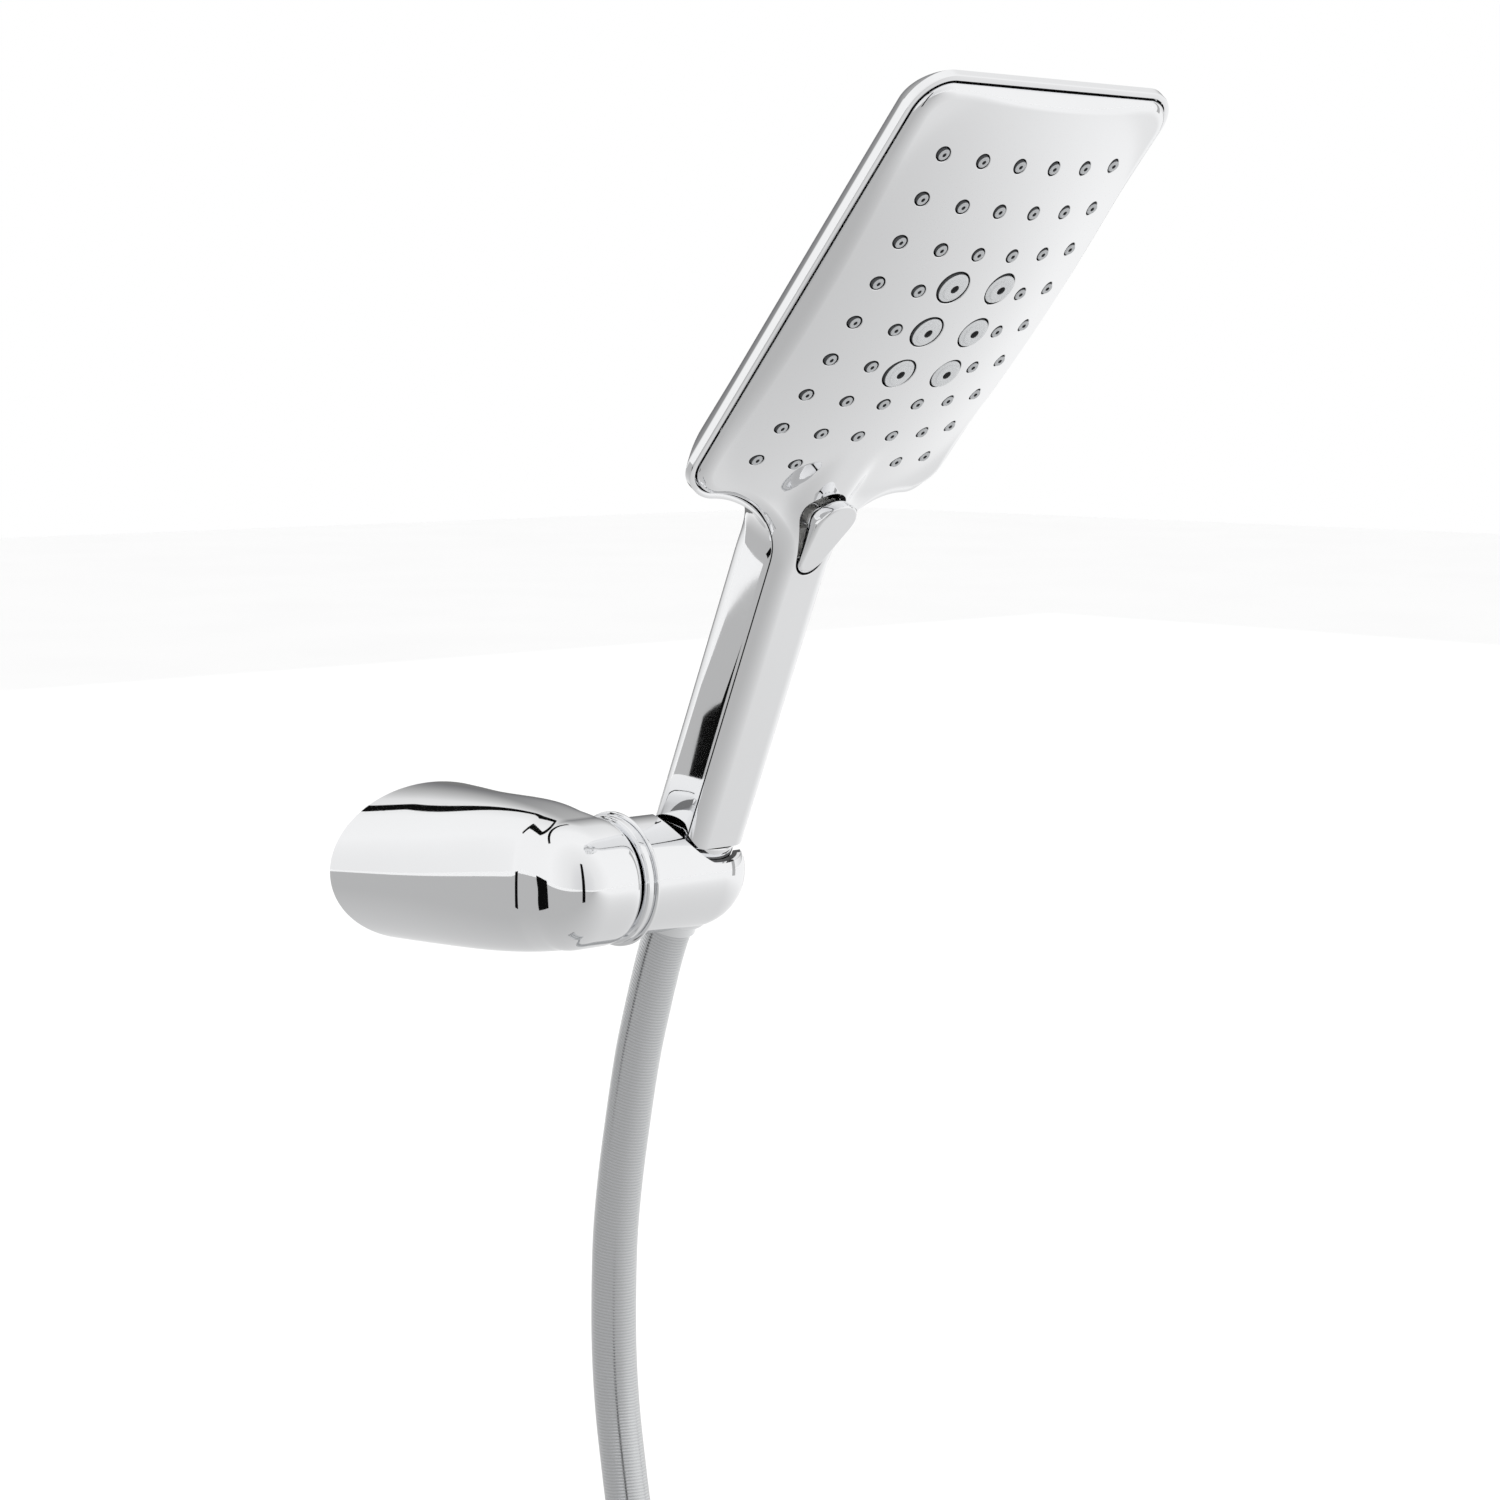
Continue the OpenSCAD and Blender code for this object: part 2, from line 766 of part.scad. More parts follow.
module mode_button() {
    low = button_tip_z - button_tip_r;
    color(chrome) difference() {
        union() {
            on_front() translate([0, 0, button_base]) linear_extrude(14) button_outline(0);
            on_front() translate([-3, pin_z - 2, pin_front - 1.8])
                cube([6, 4, button_base - pin_front + 3]);
        }
        on_front() translate([-20, low, handle_d / 2]) rotate([button_slope, 0, 0])
            translate([0, -20, 0]) cube([40, 70, 30]);
        on_pin() cylinder(r = pin_r + touch, h = 40, center = true, $fn = fine);
    }
}

module button_pin() {
    color(satin) on_pin() cylinder(r = pin_r, h = pin_l, center = true, $fn = fine);
}

// --------------------------------------------------------------- waterway

module on_tube(z) {
    on_handset() translate([0, tube_y, z]) children();
}

module water_tube() {
    color(plastic) on_tube(tube_low) ring(tube_r, tube_r - tube_wall, tube_high - tube_low);
}

module tube_seals() {
    color(dark) for (z = seal_places)
        on_tube(z) rotate_extrude($fn = 48) translate([tube_r + touch + seal_r, 0])
            circle(r = seal_r, $fn = fine);
}

// The brass socket: thread below the handle, cup for the water tube above it.
module inlet_socket() {
    color(brass) difference() {
        union() {
            on_handset() translate([0, 0, inlet_low]) cylinder(r = thread_r, h = handle_start - inlet_low);
            on_handset() translate([0, 0, handle_start]) cylinder(r = cup_r + 1, h = 6);
            on_tube(handle_start + 6) cylinder(r = cup_r, h = 22);
        }
        on_tube(tube_low - touch) cylinder(r = tube_r + touch, h = 30);
        for (z = seal_places)
            on_tube(z - 0.6) cylinder(r = tube_r + touch + 2 * seal_r, h = 1.2);
        on_handset() translate([0, 0, inlet_low - cut]) cylinder(r = inlet_bore, h = 10);
        on_tube(inlet_low) cylinder(r = tube_r - tube_wall, h = 30);
    }
}

module flow_regulator() {
    color(soft_grey) on_handset() translate([0, 0, inlet_low + 3.5]) difference() {
        cylinder(r = inlet_bore, h = 4.5);
        for (hole = [0:5])
            rotate([0, 0, 60 * hole]) translate([3.6, 0, -cut]) cylinder(r = 0.9, h = 7, $fn = fine);
    }
}

module inlet_filter() {
    color(satin) on_handset() translate([0, 0, inlet_low + 2]) difference() {
        cylinder(r = inlet_bore, h = 1);
        for (row = [-2:2], col = [-2:2])
            translate([row * 1.8, col * 1.8, -cut]) cylinder(r = 0.5, h = 4, $fn = fine);
    }
}

// ------------------------------------------------------------------- hose

function unit(v) = v / norm(v);
function heading(p, i) = unit(p[min(i + 1, len(p) - 1)] - p[max(i - 1, 0)]);
function tube_ring(p, i, r) = let (
    t = heading(p, i),
    u = unit(cross(t, [1, 0, 0])),
    w = cross(t, u)
) [for (k = [0:tube_sides - 1]) p[i] + r * (cos(360 * k / tube_sides) * u + sin(360 * k / tube_sides) * w)];

// A tube swept along a list of points.
module tube_along(p, r) {
    n = len(p);
    m = tube_sides;
    polyhedron(
        points = [for (i = [0:n - 1]) each tube_ring(p, i, r)],
        faces = concat(
            [[for (k = [0:m - 1]) k]],
            [[for (k = [m - 1:-1:0]) (n - 1) * m + k]],
            [for (i = [0:n - 2], k = [0:m - 1])
                [i * m + k, (i + 1) * m + k, (i + 1) * m + (k + 1) % m, i * m + (k + 1) % m]]
        )
    );
}

module cone_nut() {
    color(chrome) on_handset() difference() {
        translate([0, 0, cone_end]) cylinder(r1 = cone_end_r, r2 = cone_top_r, h = cone_l);
        translate([0, 0, inlet_low]) cylinder(r = thread_r, h = thread_l + cut);
        translate([0, 0, hose_top_z + touch]) cylinder(r = stem_r + 4.2, h = inlet_low);
        translate([0, 0, cone_end - cut]) cylinder(r = ferrule_r + touch, h = cone_l);
    }
}

module cone_washer() {
    color(dark) on_handset() translate([0, 0, inlet_low - washer_t]) ring(stem_r + 4, stem_r, washer_t);
}

module hose_nipple() {
    color(brass) on_handset() difference() {
        union() {
            translate([0, 0, hose_top_z + touch]) cylinder(r = stem_r + 4, h = flange_t);
            translate([0, 0, cone_end]) cylinder(r = stem_r, h = hose_top_z - cone_end + cut);
        }
        translate([0, 0, cone_end - cut]) cylinder(r = stem_r - 1.2, h = cone_l);
    }
}

module upper_ferrule() {
    color(chrome) on_handset() translate([0, 0, ferrule_end]) ring(ferrule_r, hose_r, ferrule_l);
}

module hose_top() {
    color(satin) difference() {
        tube_along(top_route, hose_r);
        on_handset() translate([0, 0, cone_end]) cylinder(r = stem_r, h = cone_l);
        translate(bend_point) sphere(r = bend_room);
    }
}

module coil_form() {
    translate([coil_mid[0], coil_start[1] + hose_r - coil_depth / 2, coil_mid[2]]) rotate([90, 0, 0])
        rotate_extrude($fn = 96) translate([coil_r, 0]) union() {
            square([hose_d, coil_depth - hose_d], center = true);
            for (side = [-1, 1]) translate([0, side * (coil_depth - hose_d) / 2]) circle(r = hose_r);
        }
}

module hose_drop() {
    color(satin) difference() {
        tube_along(concat([for (i = [0:len(drop_route) - 2]) drop_route[i]],
            [coil_start + [0, 0, 10]]), hose_r);
        coil_form();
    }
}

module hose_coil() {
    color(satin) coil_form();
}

module on_tail(down) {
    translate(tail_start - [0, 0, tail_full + down]) children();
}

module hose_tail() {
    color(satin) difference() {
        on_tail(0) cylinder(r = hose_r, h = tail_full - hose_d);
        coil_form();
        on_tail(cut) cylinder(r = stem_r, h = ferrule_l + cut);
    }
}

module coil_tie() {
    band = hose_d + 2 * tie_t;
    color(dark) difference() {
        translate([coil_mid[0] - coil_r - band / 2, coil_start[1] + hose_r - coil_depth - tie_t,
            coil_mid[2] - tie_w / 2]) cube([band, coil_depth + 2 * tie_t, tie_w]);
        coil_form();
    }
}

module lower_ferrule() {
    color(chrome) on_tail(0) ring(ferrule_r, hose_r, ferrule_l);
}

// The nipple's flange turns in the union nut.
module tail_nipple() {
    flange_down = nut_collar + 2 * nut_run + flange_t;
    color(brass) difference() {
        union() {
            on_tail(flange_down) cylinder(r = union_r - 2 * nut_run, h = flange_t);
            on_tail(flange_down) cylinder(r = stem_r + 1.5, h = flange_down);
            on_tail(flange_down) cylinder(r = stem_r, h = flange_down + ferrule_l);
        }
        on_tail(flange_down + cut) cylinder(r = stem_r - 1.2, h = flange_down + ferrule_l + 2 * cut);
    }
}

module union_washer() {
    color(dark) on_tail(nut_seat) ring(union_r - nut_run, stem_r, washer_t);
}

module union_nut() {
    color(chrome) on_tail(nut_run + nut_h) difference() {
        hexagon(nut_flats, nut_h);
        translate([0, 0, -cut]) cylinder(r = union_r, h = nut_h - nut_collar + cut);
        translate([0, 0, nut_h + nut_run - nut_seat - 0.2])
            cylinder(r = union_r + nut_relief, h = nut_seat + 0.2 - nut_run - nut_collar);
        cylinder(r = stem_r + 1.5 + nut_run, h = nut_h + cut);
    }
}

wall_plate();
bracket_body();
grub_screw();
swivel_axle();
friction_washer();
wave_washer();
lock_nut();
trim_ring();
holder_body();
holder_liner();
front_shell();
rear_shell();
nozzle_mat();
jet_inserts();
spray_plate();
chamber_gasket();
water_chamber();
chamber_screws();
valve_body();
selector_disc();
plunger();
plunger_seal();
plunger_spring();
mode_button();
button_pin();
water_tube();
tube_seals();
inlet_socket();
flow_regulator();
inlet_filter();
cone_nut();
cone_washer();
hose_nipple();
upper_ferrule();
hose_top();
hose_drop();
hose_coil();
hose_tail();
coil_tie();
lower_ferrule();
tail_nipple();
union_washer();
union_nut();
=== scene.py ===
import math

import bmesh
import bpy
import numpy as np
from mathutils import Matrix, Vector, geometry


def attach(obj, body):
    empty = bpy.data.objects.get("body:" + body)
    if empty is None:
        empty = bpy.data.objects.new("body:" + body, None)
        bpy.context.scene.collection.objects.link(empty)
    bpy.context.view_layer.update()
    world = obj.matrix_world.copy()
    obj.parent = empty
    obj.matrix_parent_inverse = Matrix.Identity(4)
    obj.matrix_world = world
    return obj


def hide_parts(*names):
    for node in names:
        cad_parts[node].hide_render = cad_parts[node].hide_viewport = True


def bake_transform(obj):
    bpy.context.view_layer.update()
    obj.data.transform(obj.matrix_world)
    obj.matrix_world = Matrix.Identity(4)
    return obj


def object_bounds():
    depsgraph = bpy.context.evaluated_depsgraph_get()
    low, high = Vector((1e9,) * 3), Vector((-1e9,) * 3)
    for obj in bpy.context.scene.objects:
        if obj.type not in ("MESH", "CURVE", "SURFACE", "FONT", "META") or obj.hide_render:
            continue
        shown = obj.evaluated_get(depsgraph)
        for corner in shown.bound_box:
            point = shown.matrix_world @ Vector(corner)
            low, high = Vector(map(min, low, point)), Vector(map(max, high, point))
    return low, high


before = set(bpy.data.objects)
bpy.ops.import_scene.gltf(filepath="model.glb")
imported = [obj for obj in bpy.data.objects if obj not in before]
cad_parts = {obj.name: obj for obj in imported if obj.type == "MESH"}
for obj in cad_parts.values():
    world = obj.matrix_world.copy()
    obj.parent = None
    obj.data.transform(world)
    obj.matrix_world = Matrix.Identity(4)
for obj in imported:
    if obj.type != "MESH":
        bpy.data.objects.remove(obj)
cad_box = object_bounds()

# ------------------------------------------------------------------ frames
# Lengths below are millimetres until a mesh is made.
LEAN = math.radians(23.3)
TILT = math.radians(18.2)
AXIS = np.array([45.5, -66.0, 0.0])
X = np.array([1.0, 0.0, 0.0])
UP = np.array([0.0, -math.sin(LEAN), math.cos(LEAN)])       # up the handle
BACK = np.array([0.0, math.cos(LEAN), math.sin(LEAN)])      # to the handle's back


def hand(x, y, z):
    """Points given on the handset (z up the handle, -y its front) in the row frame."""
    x, y, z = np.broadcast_arrays(*[np.asarray(a, float) for a in (x, y, z)])
    return AXIS + x[..., None] * X + y[..., None] * BACK + z[..., None] * UP


def smooth(x):
    x = np.clip(x, 0, 1)
    return x * x * (3 - 2 * x)


def unit(v):
    return v / np.maximum(np.linalg.norm(v, axis=-1, keepdims=True), 1e-12)


# ------------------------------------------------------------------ camera
camera_data = bpy.data.cameras.new("camera")
camera_data.sensor_width = 36
camera_data.lens = 76.38
camera = bpy.data.objects.new("camera", camera_data)
bpy.context.scene.collection.objects.link(camera)
camera.matrix_world = Matrix((
    (0.73271, 0.07892, -0.67595, -0.58240),
    (-0.68054, 0.08497, -0.72776, -0.77006),
    (0.0, 0.99325, 0.11596, 0.14594),
    (0, 0, 0, 1)))
bpy.context.scene.camera = camera


# ------------------------------------------------------------------ meshes
def mesh_object(name, points, faces, materials=(), normals=None, face_material=None, sharp=None, flat=False):
    """A mesh in metres from points in millimetres.

    normals holds a row for each face corner; zero is automatic.
    """
    mesh = bpy.data.meshes.new(name)
    mesh.from_pydata((np.asarray(points, float) / 1000).tolist(), [], [list(map(int, f)) for f in faces])
    mesh.update()
    for m in materials:
        mesh.materials.append(m)
    if face_material is not None:
        mesh.polygons.foreach_set("material_index", np.asarray(face_material, np.int32))
    mesh.polygons.foreach_set("use_smooth", [not flat] * len(mesh.polygons))
    if sharp is not None:
        mesh.set_sharp_from_angle(angle=math.radians(sharp))
    if normals is not None:
        mesh.normals_split_custom_set(normals)
    o = bpy.data.objects.new(name, mesh)
    bpy.context.scene.collection.objects.link(o)
    return o


def strip(a, b, closed):
    """Quads between two rows of vertex numbers."""
    n = len(a)
    last = n if closed else n - 1
    return [(a[i], a[(i + 1) % n], b[(i + 1) % n], b[i]) for i in range(last)]


def lathe(profile, origin, axis, side, segments=96):
    """Points and quads of a profile of (radius, height) turned about an axis. A radius of 0 closes an end."""
    axis, side = np.asarray(axis, float), np.asarray(side, float)
    other = np.cross(axis, side)
    points, rows, faces = [], [], []
    turn = np.arange(segments) * 2 * math.pi / segments
    for r, h in profile:
        if r < 1e-6:
            rows.append([len(points)])
            points.append(np.asarray(origin, float) + h * axis)
        else:
            rows.append(list(range(len(points), len(points) + segments)))
            points.extend(np.asarray(origin, float) + h * axis
                          + r * (np.cos(turn)[:, None] * side + np.sin(turn)[:, None] * other))
    for a, b in zip(rows, rows[1:]):
        if len(a) == 1 and len(b) == 1:
            continue
        if len(a) == 1:
            faces += [(a[0], b[(i + 1) % segments], b[i]) for i in range(segments)]
        elif len(b) == 1:
            faces += [(a[i], a[(i + 1) % segments], b[0]) for i in range(segments)]
        else:
            faces += strip(a, b, True)
    return np.array(points), faces


def rounded_profile(corners, steps=5):
    """A profile of (radius, height, fillet) with each corner rounded by its fillet."""
    out = []
    for i, (r, h, f) in enumerate(corners):
        p = np.array([r, h], float)
        if f <= 0 or i in (0, len(corners) - 1):
            out.append((r, h))
            continue
        a = unit(np.array(corners[i - 1][:2], float) - p)
        b = unit(np.array(corners[i + 1][:2], float) - p)
        half = math.acos(max(-1, min(1, float(a @ b)))) / 2
        d = f / math.tan(half)
        centre = p + unit(a + b) * f / math.sin(half)
        s, e = p + a * d - centre, p + b * d - centre
        sweep = math.atan2(s[0] * e[1] - s[1] * e[0], s @ e)
        for k in range(steps + 1):
            c, q = math.cos(sweep * k / steps), math.sin(sweep * k / steps)
            out.append(tuple(centre + np.array([c * s[0] - q * s[1], q * s[0] + c * s[1]])))
    return out


def join(parts):
    """Several (points, faces) as one."""
    points, faces, base = [], [], 0
    for p, f in parts:
        points.append(np.asarray(p, float))
        faces += [tuple(i + base for i in face) for face in f]
        base += len(p)
    return np.vstack(points), faces


def mend(o, sharp):
    """Closes what is open, turns faces outward, and keeps edges over an angle sharp."""
    bm = bmesh.new()
    bm.from_mesh(o.data)
    bmesh.ops.remove_doubles(bm, verts=bm.verts, dist=1e-6)
    open_edges = [e for e in bm.edges if len(e.link_faces) == 1]
    if open_edges:
        bmesh.ops.triangle_fill(bm, use_beauty=True, edges=open_edges)
    bmesh.ops.recalc_face_normals(bm, faces=bm.faces)
    bm.to_mesh(o.data)
    left = sum(1 for e in bm.edges if len(e.link_faces) != 2)
    bm.free()
    o.data.polygons.foreach_set("use_smooth", [True] * len(o.data.polygons))
    o.data.set_sharp_from_angle(angle=math.radians(sharp))
    return left


# --------------------------------------------------------------- materials
def principled(name, base, metallic, roughness):
    m = bpy.data.materials.new(name)
    m.use_nodes = True
    b = m.node_tree.nodes["Principled BSDF"]
    b.inputs["Base Color"].default_value = (*base, 1)
    b.inputs["Metallic"].default_value = metallic
    b.inputs["Roughness"].default_value = roughness
    return m, m.node_tree.nodes, m.node_tree.links, b


def finish_material(name, base, metallic, rough, spread, scale, bump=0.0, bump_scale=None, mottle=0.0,
                    detail=4.0):
    """A surface whose roughness, and a little of its colour, varies by noise, with a fine bump."""
    m, n, link, b = principled(name, base, metallic, rough)
    place = n.new("ShaderNodeTexCoord")
    noise = n.new("ShaderNodeTexNoise")
    noise.inputs["Scale"].default_value = scale
    noise.inputs["Detail"].default_value = detail
    link.new(place.outputs["Object"], noise.inputs["Vector"])
    ramp = n.new("ShaderNodeMapRange")
    ramp.inputs["From Min"].default_value = 0.3
    ramp.inputs["From Max"].default_value = 0.7
    ramp.inputs["To Min"].default_value = max(rough - spread, 0.0)
    ramp.inputs["To Max"].default_value = rough + spread
    link.new(noise.outputs["Fac"], ramp.inputs["Value"])
    link.new(ramp.outputs["Result"], b.inputs["Roughness"])
    if mottle:
        mix = n.new("ShaderNodeMix")
        mix.data_type = "RGBA"
        mix.inputs["A"].default_value = (*[c * (1 - mottle) for c in base], 1)
        mix.inputs["B"].default_value = (*[min(c * (1 + mottle), 1) for c in base], 1)
        link.new(noise.outputs["Fac"], mix.inputs["Factor"])
        link.new(mix.outputs["Result"], b.inputs["Base Color"])
    if bump:
        fine = n.new("ShaderNodeTexNoise")
        fine.inputs["Scale"].default_value = bump_scale or scale * 8
        fine.inputs["Detail"].default_value = 3
        link.new(place.outputs["Object"], fine.inputs["Vector"])
        rise = n.new("ShaderNodeBump")
        rise.inputs["Strength"].default_value = bump
        rise.inputs["Distance"].default_value = 0.0002
        link.new(fine.outputs["Fac"], rise.inputs["Height"])
        link.new(rise.outputs["Normal"], b.inputs["Normal"])
    return m


chrome = finish_material("chrome_plate", (0.90, 0.905, 0.915), 1.0, 0.035, 0.02, 45, mottle=0.01)
# seam_shadow: near-black for the seam's groove and the shells' edge walls, painted shade where the gap
# between the shells is dark
seam_painted_shade = finish_material("seam_shadow", (0.012, 0.012, 0.013), 0.0, 0.6, 0.1, 60, bump=0.1)
steel = finish_material("steel", (0.62, 0.63, 0.64), 1.0, 0.28, 0.08, 120, bump=0.15, mottle=0.05)
brass = finish_material("brass", (0.78, 0.62, 0.34), 1.0, 0.24, 0.08, 110, bump=0.1, mottle=0.06)
nozzle_rubber = finish_material("nozzle_rubber", (0.36, 0.37, 0.38), 0.0, 0.5, 0.06, 120, bump=0.05,
                                mottle=0.05)
# near-black for the sides of the tips: painted shade
tip_side_painted_shade = finish_material("tip_side_painted_shade", (0.045, 0.047, 0.05), 0.0, 0.5, 0.06, 120, bump=0.05,
                              mottle=0.08)
jet_plastic = finish_material("jet_plastic", (0.50, 0.51, 0.52), 0.0, 0.35, 0.05, 90, bump=0.04, mottle=0.03)
# near-black plugs set in the tips' centre holes: painted shade where the holes are dark
outlet_painted_shade = finish_material("outlet_painted_shade", (0.02, 0.02, 0.022), 0.0, 0.7, 0.1, 200, bump=0.1)
seal_rubber = finish_material("seal_rubber", (0.03, 0.03, 0.032), 0.0, 0.6, 0.1, 180, bump=0.2, mottle=0.1)
white_plastic = finish_material("inner_plastic", (0.80, 0.80, 0.78), 0.0, 0.45, 0.08, 150, bump=0.12,
                                mottle=0.03)
black_plastic = finish_material("liner_plastic", (0.025, 0.025, 0.027), 0.0, 0.42, 0.08, 160, bump=0.15,
                                mottle=0.1)


def hose_material():
    """Satin silver, with the fine rib that winds round the hose, from lengths in metres in the UV map."""
    m, n, link, b = principled("hose_silver", (0.62, 0.63, 0.64), 0.95, 0.16)
    uv = n.new("ShaderNodeUVMap")
    uv.uv_map = "length"
    wave = n.new("ShaderNodeTexWave")
    wave.wave_type = "BANDS"
    wave.bands_direction = "X"
    wave.inputs["Scale"].default_value = 1.0
    wave.inputs["Distortion"].default_value = 0.15
    wave.inputs["Detail"].default_value = 1.0
    link.new(uv.outputs["UV"], wave.inputs["Vector"])
    rise = n.new("ShaderNodeBump")
    rise.inputs["Strength"].default_value = 0.08
    rise.inputs["Distance"].default_value = 0.00025
    link.new(wave.outputs["Fac"], rise.inputs["Height"])
    link.new(rise.outputs["Normal"], b.inputs["Normal"])
    place = n.new("ShaderNodeTexCoord")
    noise = n.new("ShaderNodeTexNoise")
    noise.inputs["Scale"].default_value = 140
    link.new(place.outputs["Object"], noise.inputs["Vector"])
    mix = n.new("ShaderNodeMix")
    mix.data_type = "RGBA"
    mix.inputs["A"].default_value = (0.60, 0.61, 0.62, 1)
    mix.inputs["B"].default_value = (0.68, 0.69, 0.70, 1)
    link.new(wave.outputs["Fac"], mix.inputs["Factor"])
    link.new(mix.outputs["Result"], b.inputs["Base Color"])
    ramp = n.new("ShaderNodeMapRange")
    ramp.inputs["To Min"].default_value = 0.12
    ramp.inputs["To Max"].default_value = 0.22
    link.new(noise.outputs["Fac"], ramp.inputs["Value"])
    link.new(ramp.outputs["Result"], b.inputs["Roughness"])
    return m


hose_silver = hose_material()

# -------------------------------------------------------------------- hose
def axis_point(d):
    return hand(0, 0, d)


bend = np.array([45.5, -45.5, -53.0])
route = [axis_point(1.85), axis_point(-16), axis_point(-32)]
for dy, dz in [(0, 0), (3.5, -13), (7, -29), (10.5, -47), (13, -65), (14, -84), (14, -103), (12.5, -122),
               (9.5, -141), (6, -160), (2.5, -179), (0.5, -198), (0, -217), (0, -241)]:
    route.append(bend + [0, dy, dz])
route = np.array(route)


def spline(points, step):
    """A Catmull-Rom curve through points, in steps of about the given length."""
    p = np.vstack([2 * points[0] - points[1], points, 2 * points[-1] - points[-2]])
    out = []
    for i in range(1, len(p) - 2):
        n = max(int(np.linalg.norm(p[i + 1] - p[i]) / step), 1)
        for t in np.arange(n) / n:
            out.append(0.5 * (2 * p[i] + (p[i + 1] - p[i - 1]) * t
                              + (2 * p[i - 1] - 5 * p[i] + 4 * p[i + 1] - p[i + 2]) * t ** 2
                              + (3 * p[i] - 3 * p[i + 1] + p[i + 2] - p[i - 1]) * t ** 3))
    out.append(points[-1])
    return np.array(out)


COIL_R, COIL_TURNS, HOSE_D, TAIL = 73.0, 3, 14.0, 70.88
line = list(spline(route, 2.0))
start = line[-1]
steps = 220 * COIL_TURNS
for k in range(1, steps + 1):
    a = 2 * math.pi * COIL_TURNS * k / steps
    line.append(start + [COIL_R * (math.cos(a) - 1), -HOSE_D * COIL_TURNS * k / steps, -COIL_R * math.sin(a)])
for k in range(1, 27):
    line.append(line[-1] * 0 + start + [0, -HOSE_D * COIL_TURNS, -TAIL * k / 26])
line = np.array(line)


def tube(points, radius, sides):
    """A tube along points, turned as little as possible, with its length and its turn for each point."""
    t = unit(np.gradient(points, axis=0))
    u = unit(np.cross(t[0], [1.0, 0.2, 0.1]))
    verts, faces, along = [], [], np.r_[0, np.cumsum(np.linalg.norm(np.diff(points, axis=0), axis=1))]
    ang = np.arange(sides) * 2 * math.pi / sides
    for i, (p, d) in enumerate(zip(points, t)):
        u = unit(u - (u @ d) * d)
        w = np.cross(d, u)
        verts.append(p + radius * (np.cos(ang)[:, None] * u + np.sin(ang)[:, None] * w))
    n = len(points)
    for i in range(n - 1):
        a = list(range(i * sides, (i + 1) * sides))
        faces += strip(a, [j + sides for j in a], True)
    faces.append(tuple(range(sides - 1, -1, -1)))
    faces.append(tuple(range((n - 1) * sides, n * sides)))
    return np.vstack(verts), faces, along


points, faces, along = tube(line, HOSE_D / 2, 28)
hose = mesh_object("hose", points, faces, [hose_silver])
layer = hose.data.uv_layers.new(name="length")
for poly in hose.data.polygons:
    side = [v % 28 for v in poly.vertices]
    wrap = max(side) - min(side) > 14
    for loop, v in zip(poly.loop_indices, poly.vertices):
        ring, k = divmod(v, 28)
        turn = k / 28 + (1 if wrap and k < 14 else 0)
        layer.data[loop].uv = (along[ring] / 3.2 + turn * 1.0, turn)
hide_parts("hose_top", "hose_drop", "hose_coil", "hose_tail")


# --------------------------------------------------- handset: outline, spine
FLOOR_T = -180.93           # the handle's lower end on the unrolled outline


def outline(step=2.0):
    """The seam's outline unrolled, x across and t along.

    It runs from the handle's left end round the head to its right end.
    """
    half, top, corner, low = 47.3, 71.3, 9.6, -67.7
    hw, t0, b = 10.9, -89.03, 21.33
    low_corner = 9.9
    a = half - low_corner - hw
    right = [(hw, t) for t in np.arange(FLOOR_T, t0, step)]
    for k in range(0, 31):
        v = math.radians(k * 3)
        right.append((hw + a - a * math.cos(v), t0 + b * math.sin(v)))
    for k in range(1, 31):
        v = math.radians(-90 + k * 3)
        right.append((half - low_corner + low_corner * math.cos(v),
                      low + low_corner + low_corner * math.sin(v)))
    for t in np.linspace(low + low_corner, top - corner, 60)[1:]:
        right.append((half, t))
    for k in range(1, 31):
        v = math.radians(k * 3)
        right.append((half - corner + corner * math.cos(v), top - corner + corner * math.sin(v)))
    for x in np.linspace(half - corner, 0, 20)[1:]:
        right.append((x, top))
    right = np.array(right)
    left = right[:-1] * [-1, 1]
    return np.vstack([left, right[::-1]])


def spine(t):
    """Distance in front of the handset axis, and height, of the seam at t."""
    t = np.asarray(t, float)
    z = np.where(t > -66.5, 191.2 + 0.95 * t, 128.025 + (t + 66.5))
    head = 23.85 + 0.3123 * t
    neck = 7 - 0.245 * (t + 82.5)
    neck = 0.5 * (7 + neck - np.sqrt((7 - neck) ** 2 + 0.64))
    return 0.5 * (head + neck + np.sqrt((head - neck) ** 2 + 2.25)), z


def out_dir(t):
    """Direction out of the face at t, as (front, up) on the handset."""
    a = TILT * smooth((np.asarray(t, float) + 92) / 40)
    return np.cos(a), -np.sin(a)


def place(x, t, h):
    """A point at x across, t along the outline and h in front of the seam, in the row frame."""
    x, t, h = np.broadcast_arrays(*[np.asarray(a, float) for a in (x, t, h)])
    y, z = spine(t)
    f, u = out_dir(t)
    return hand(x, -(y + h * f), z + h * u)


def out_vector(t):
    f, u = out_dir(t)
    return -np.asarray(f)[..., None] * BACK + np.asarray(u)[..., None] * UP


RIDGE_T = [-181, -100, -95, -90, -86, -82, -78, -74, -70, -66, -62, -58, -54, -50, -46, -42, -36, -30]
RIDGE_H = [4, 4.02, 4.06, 4.16, 4.42, 4.99, 6.05, 7.25, 8.5, 9.3, 9.3, 9.0, 8.75, 8.6, 8.5, 8.0, 6.0, 3.0]


def soft_max(a, b, k):
    return 0.5 * (a + b + np.sqrt((a - b) ** 2 + k * k))


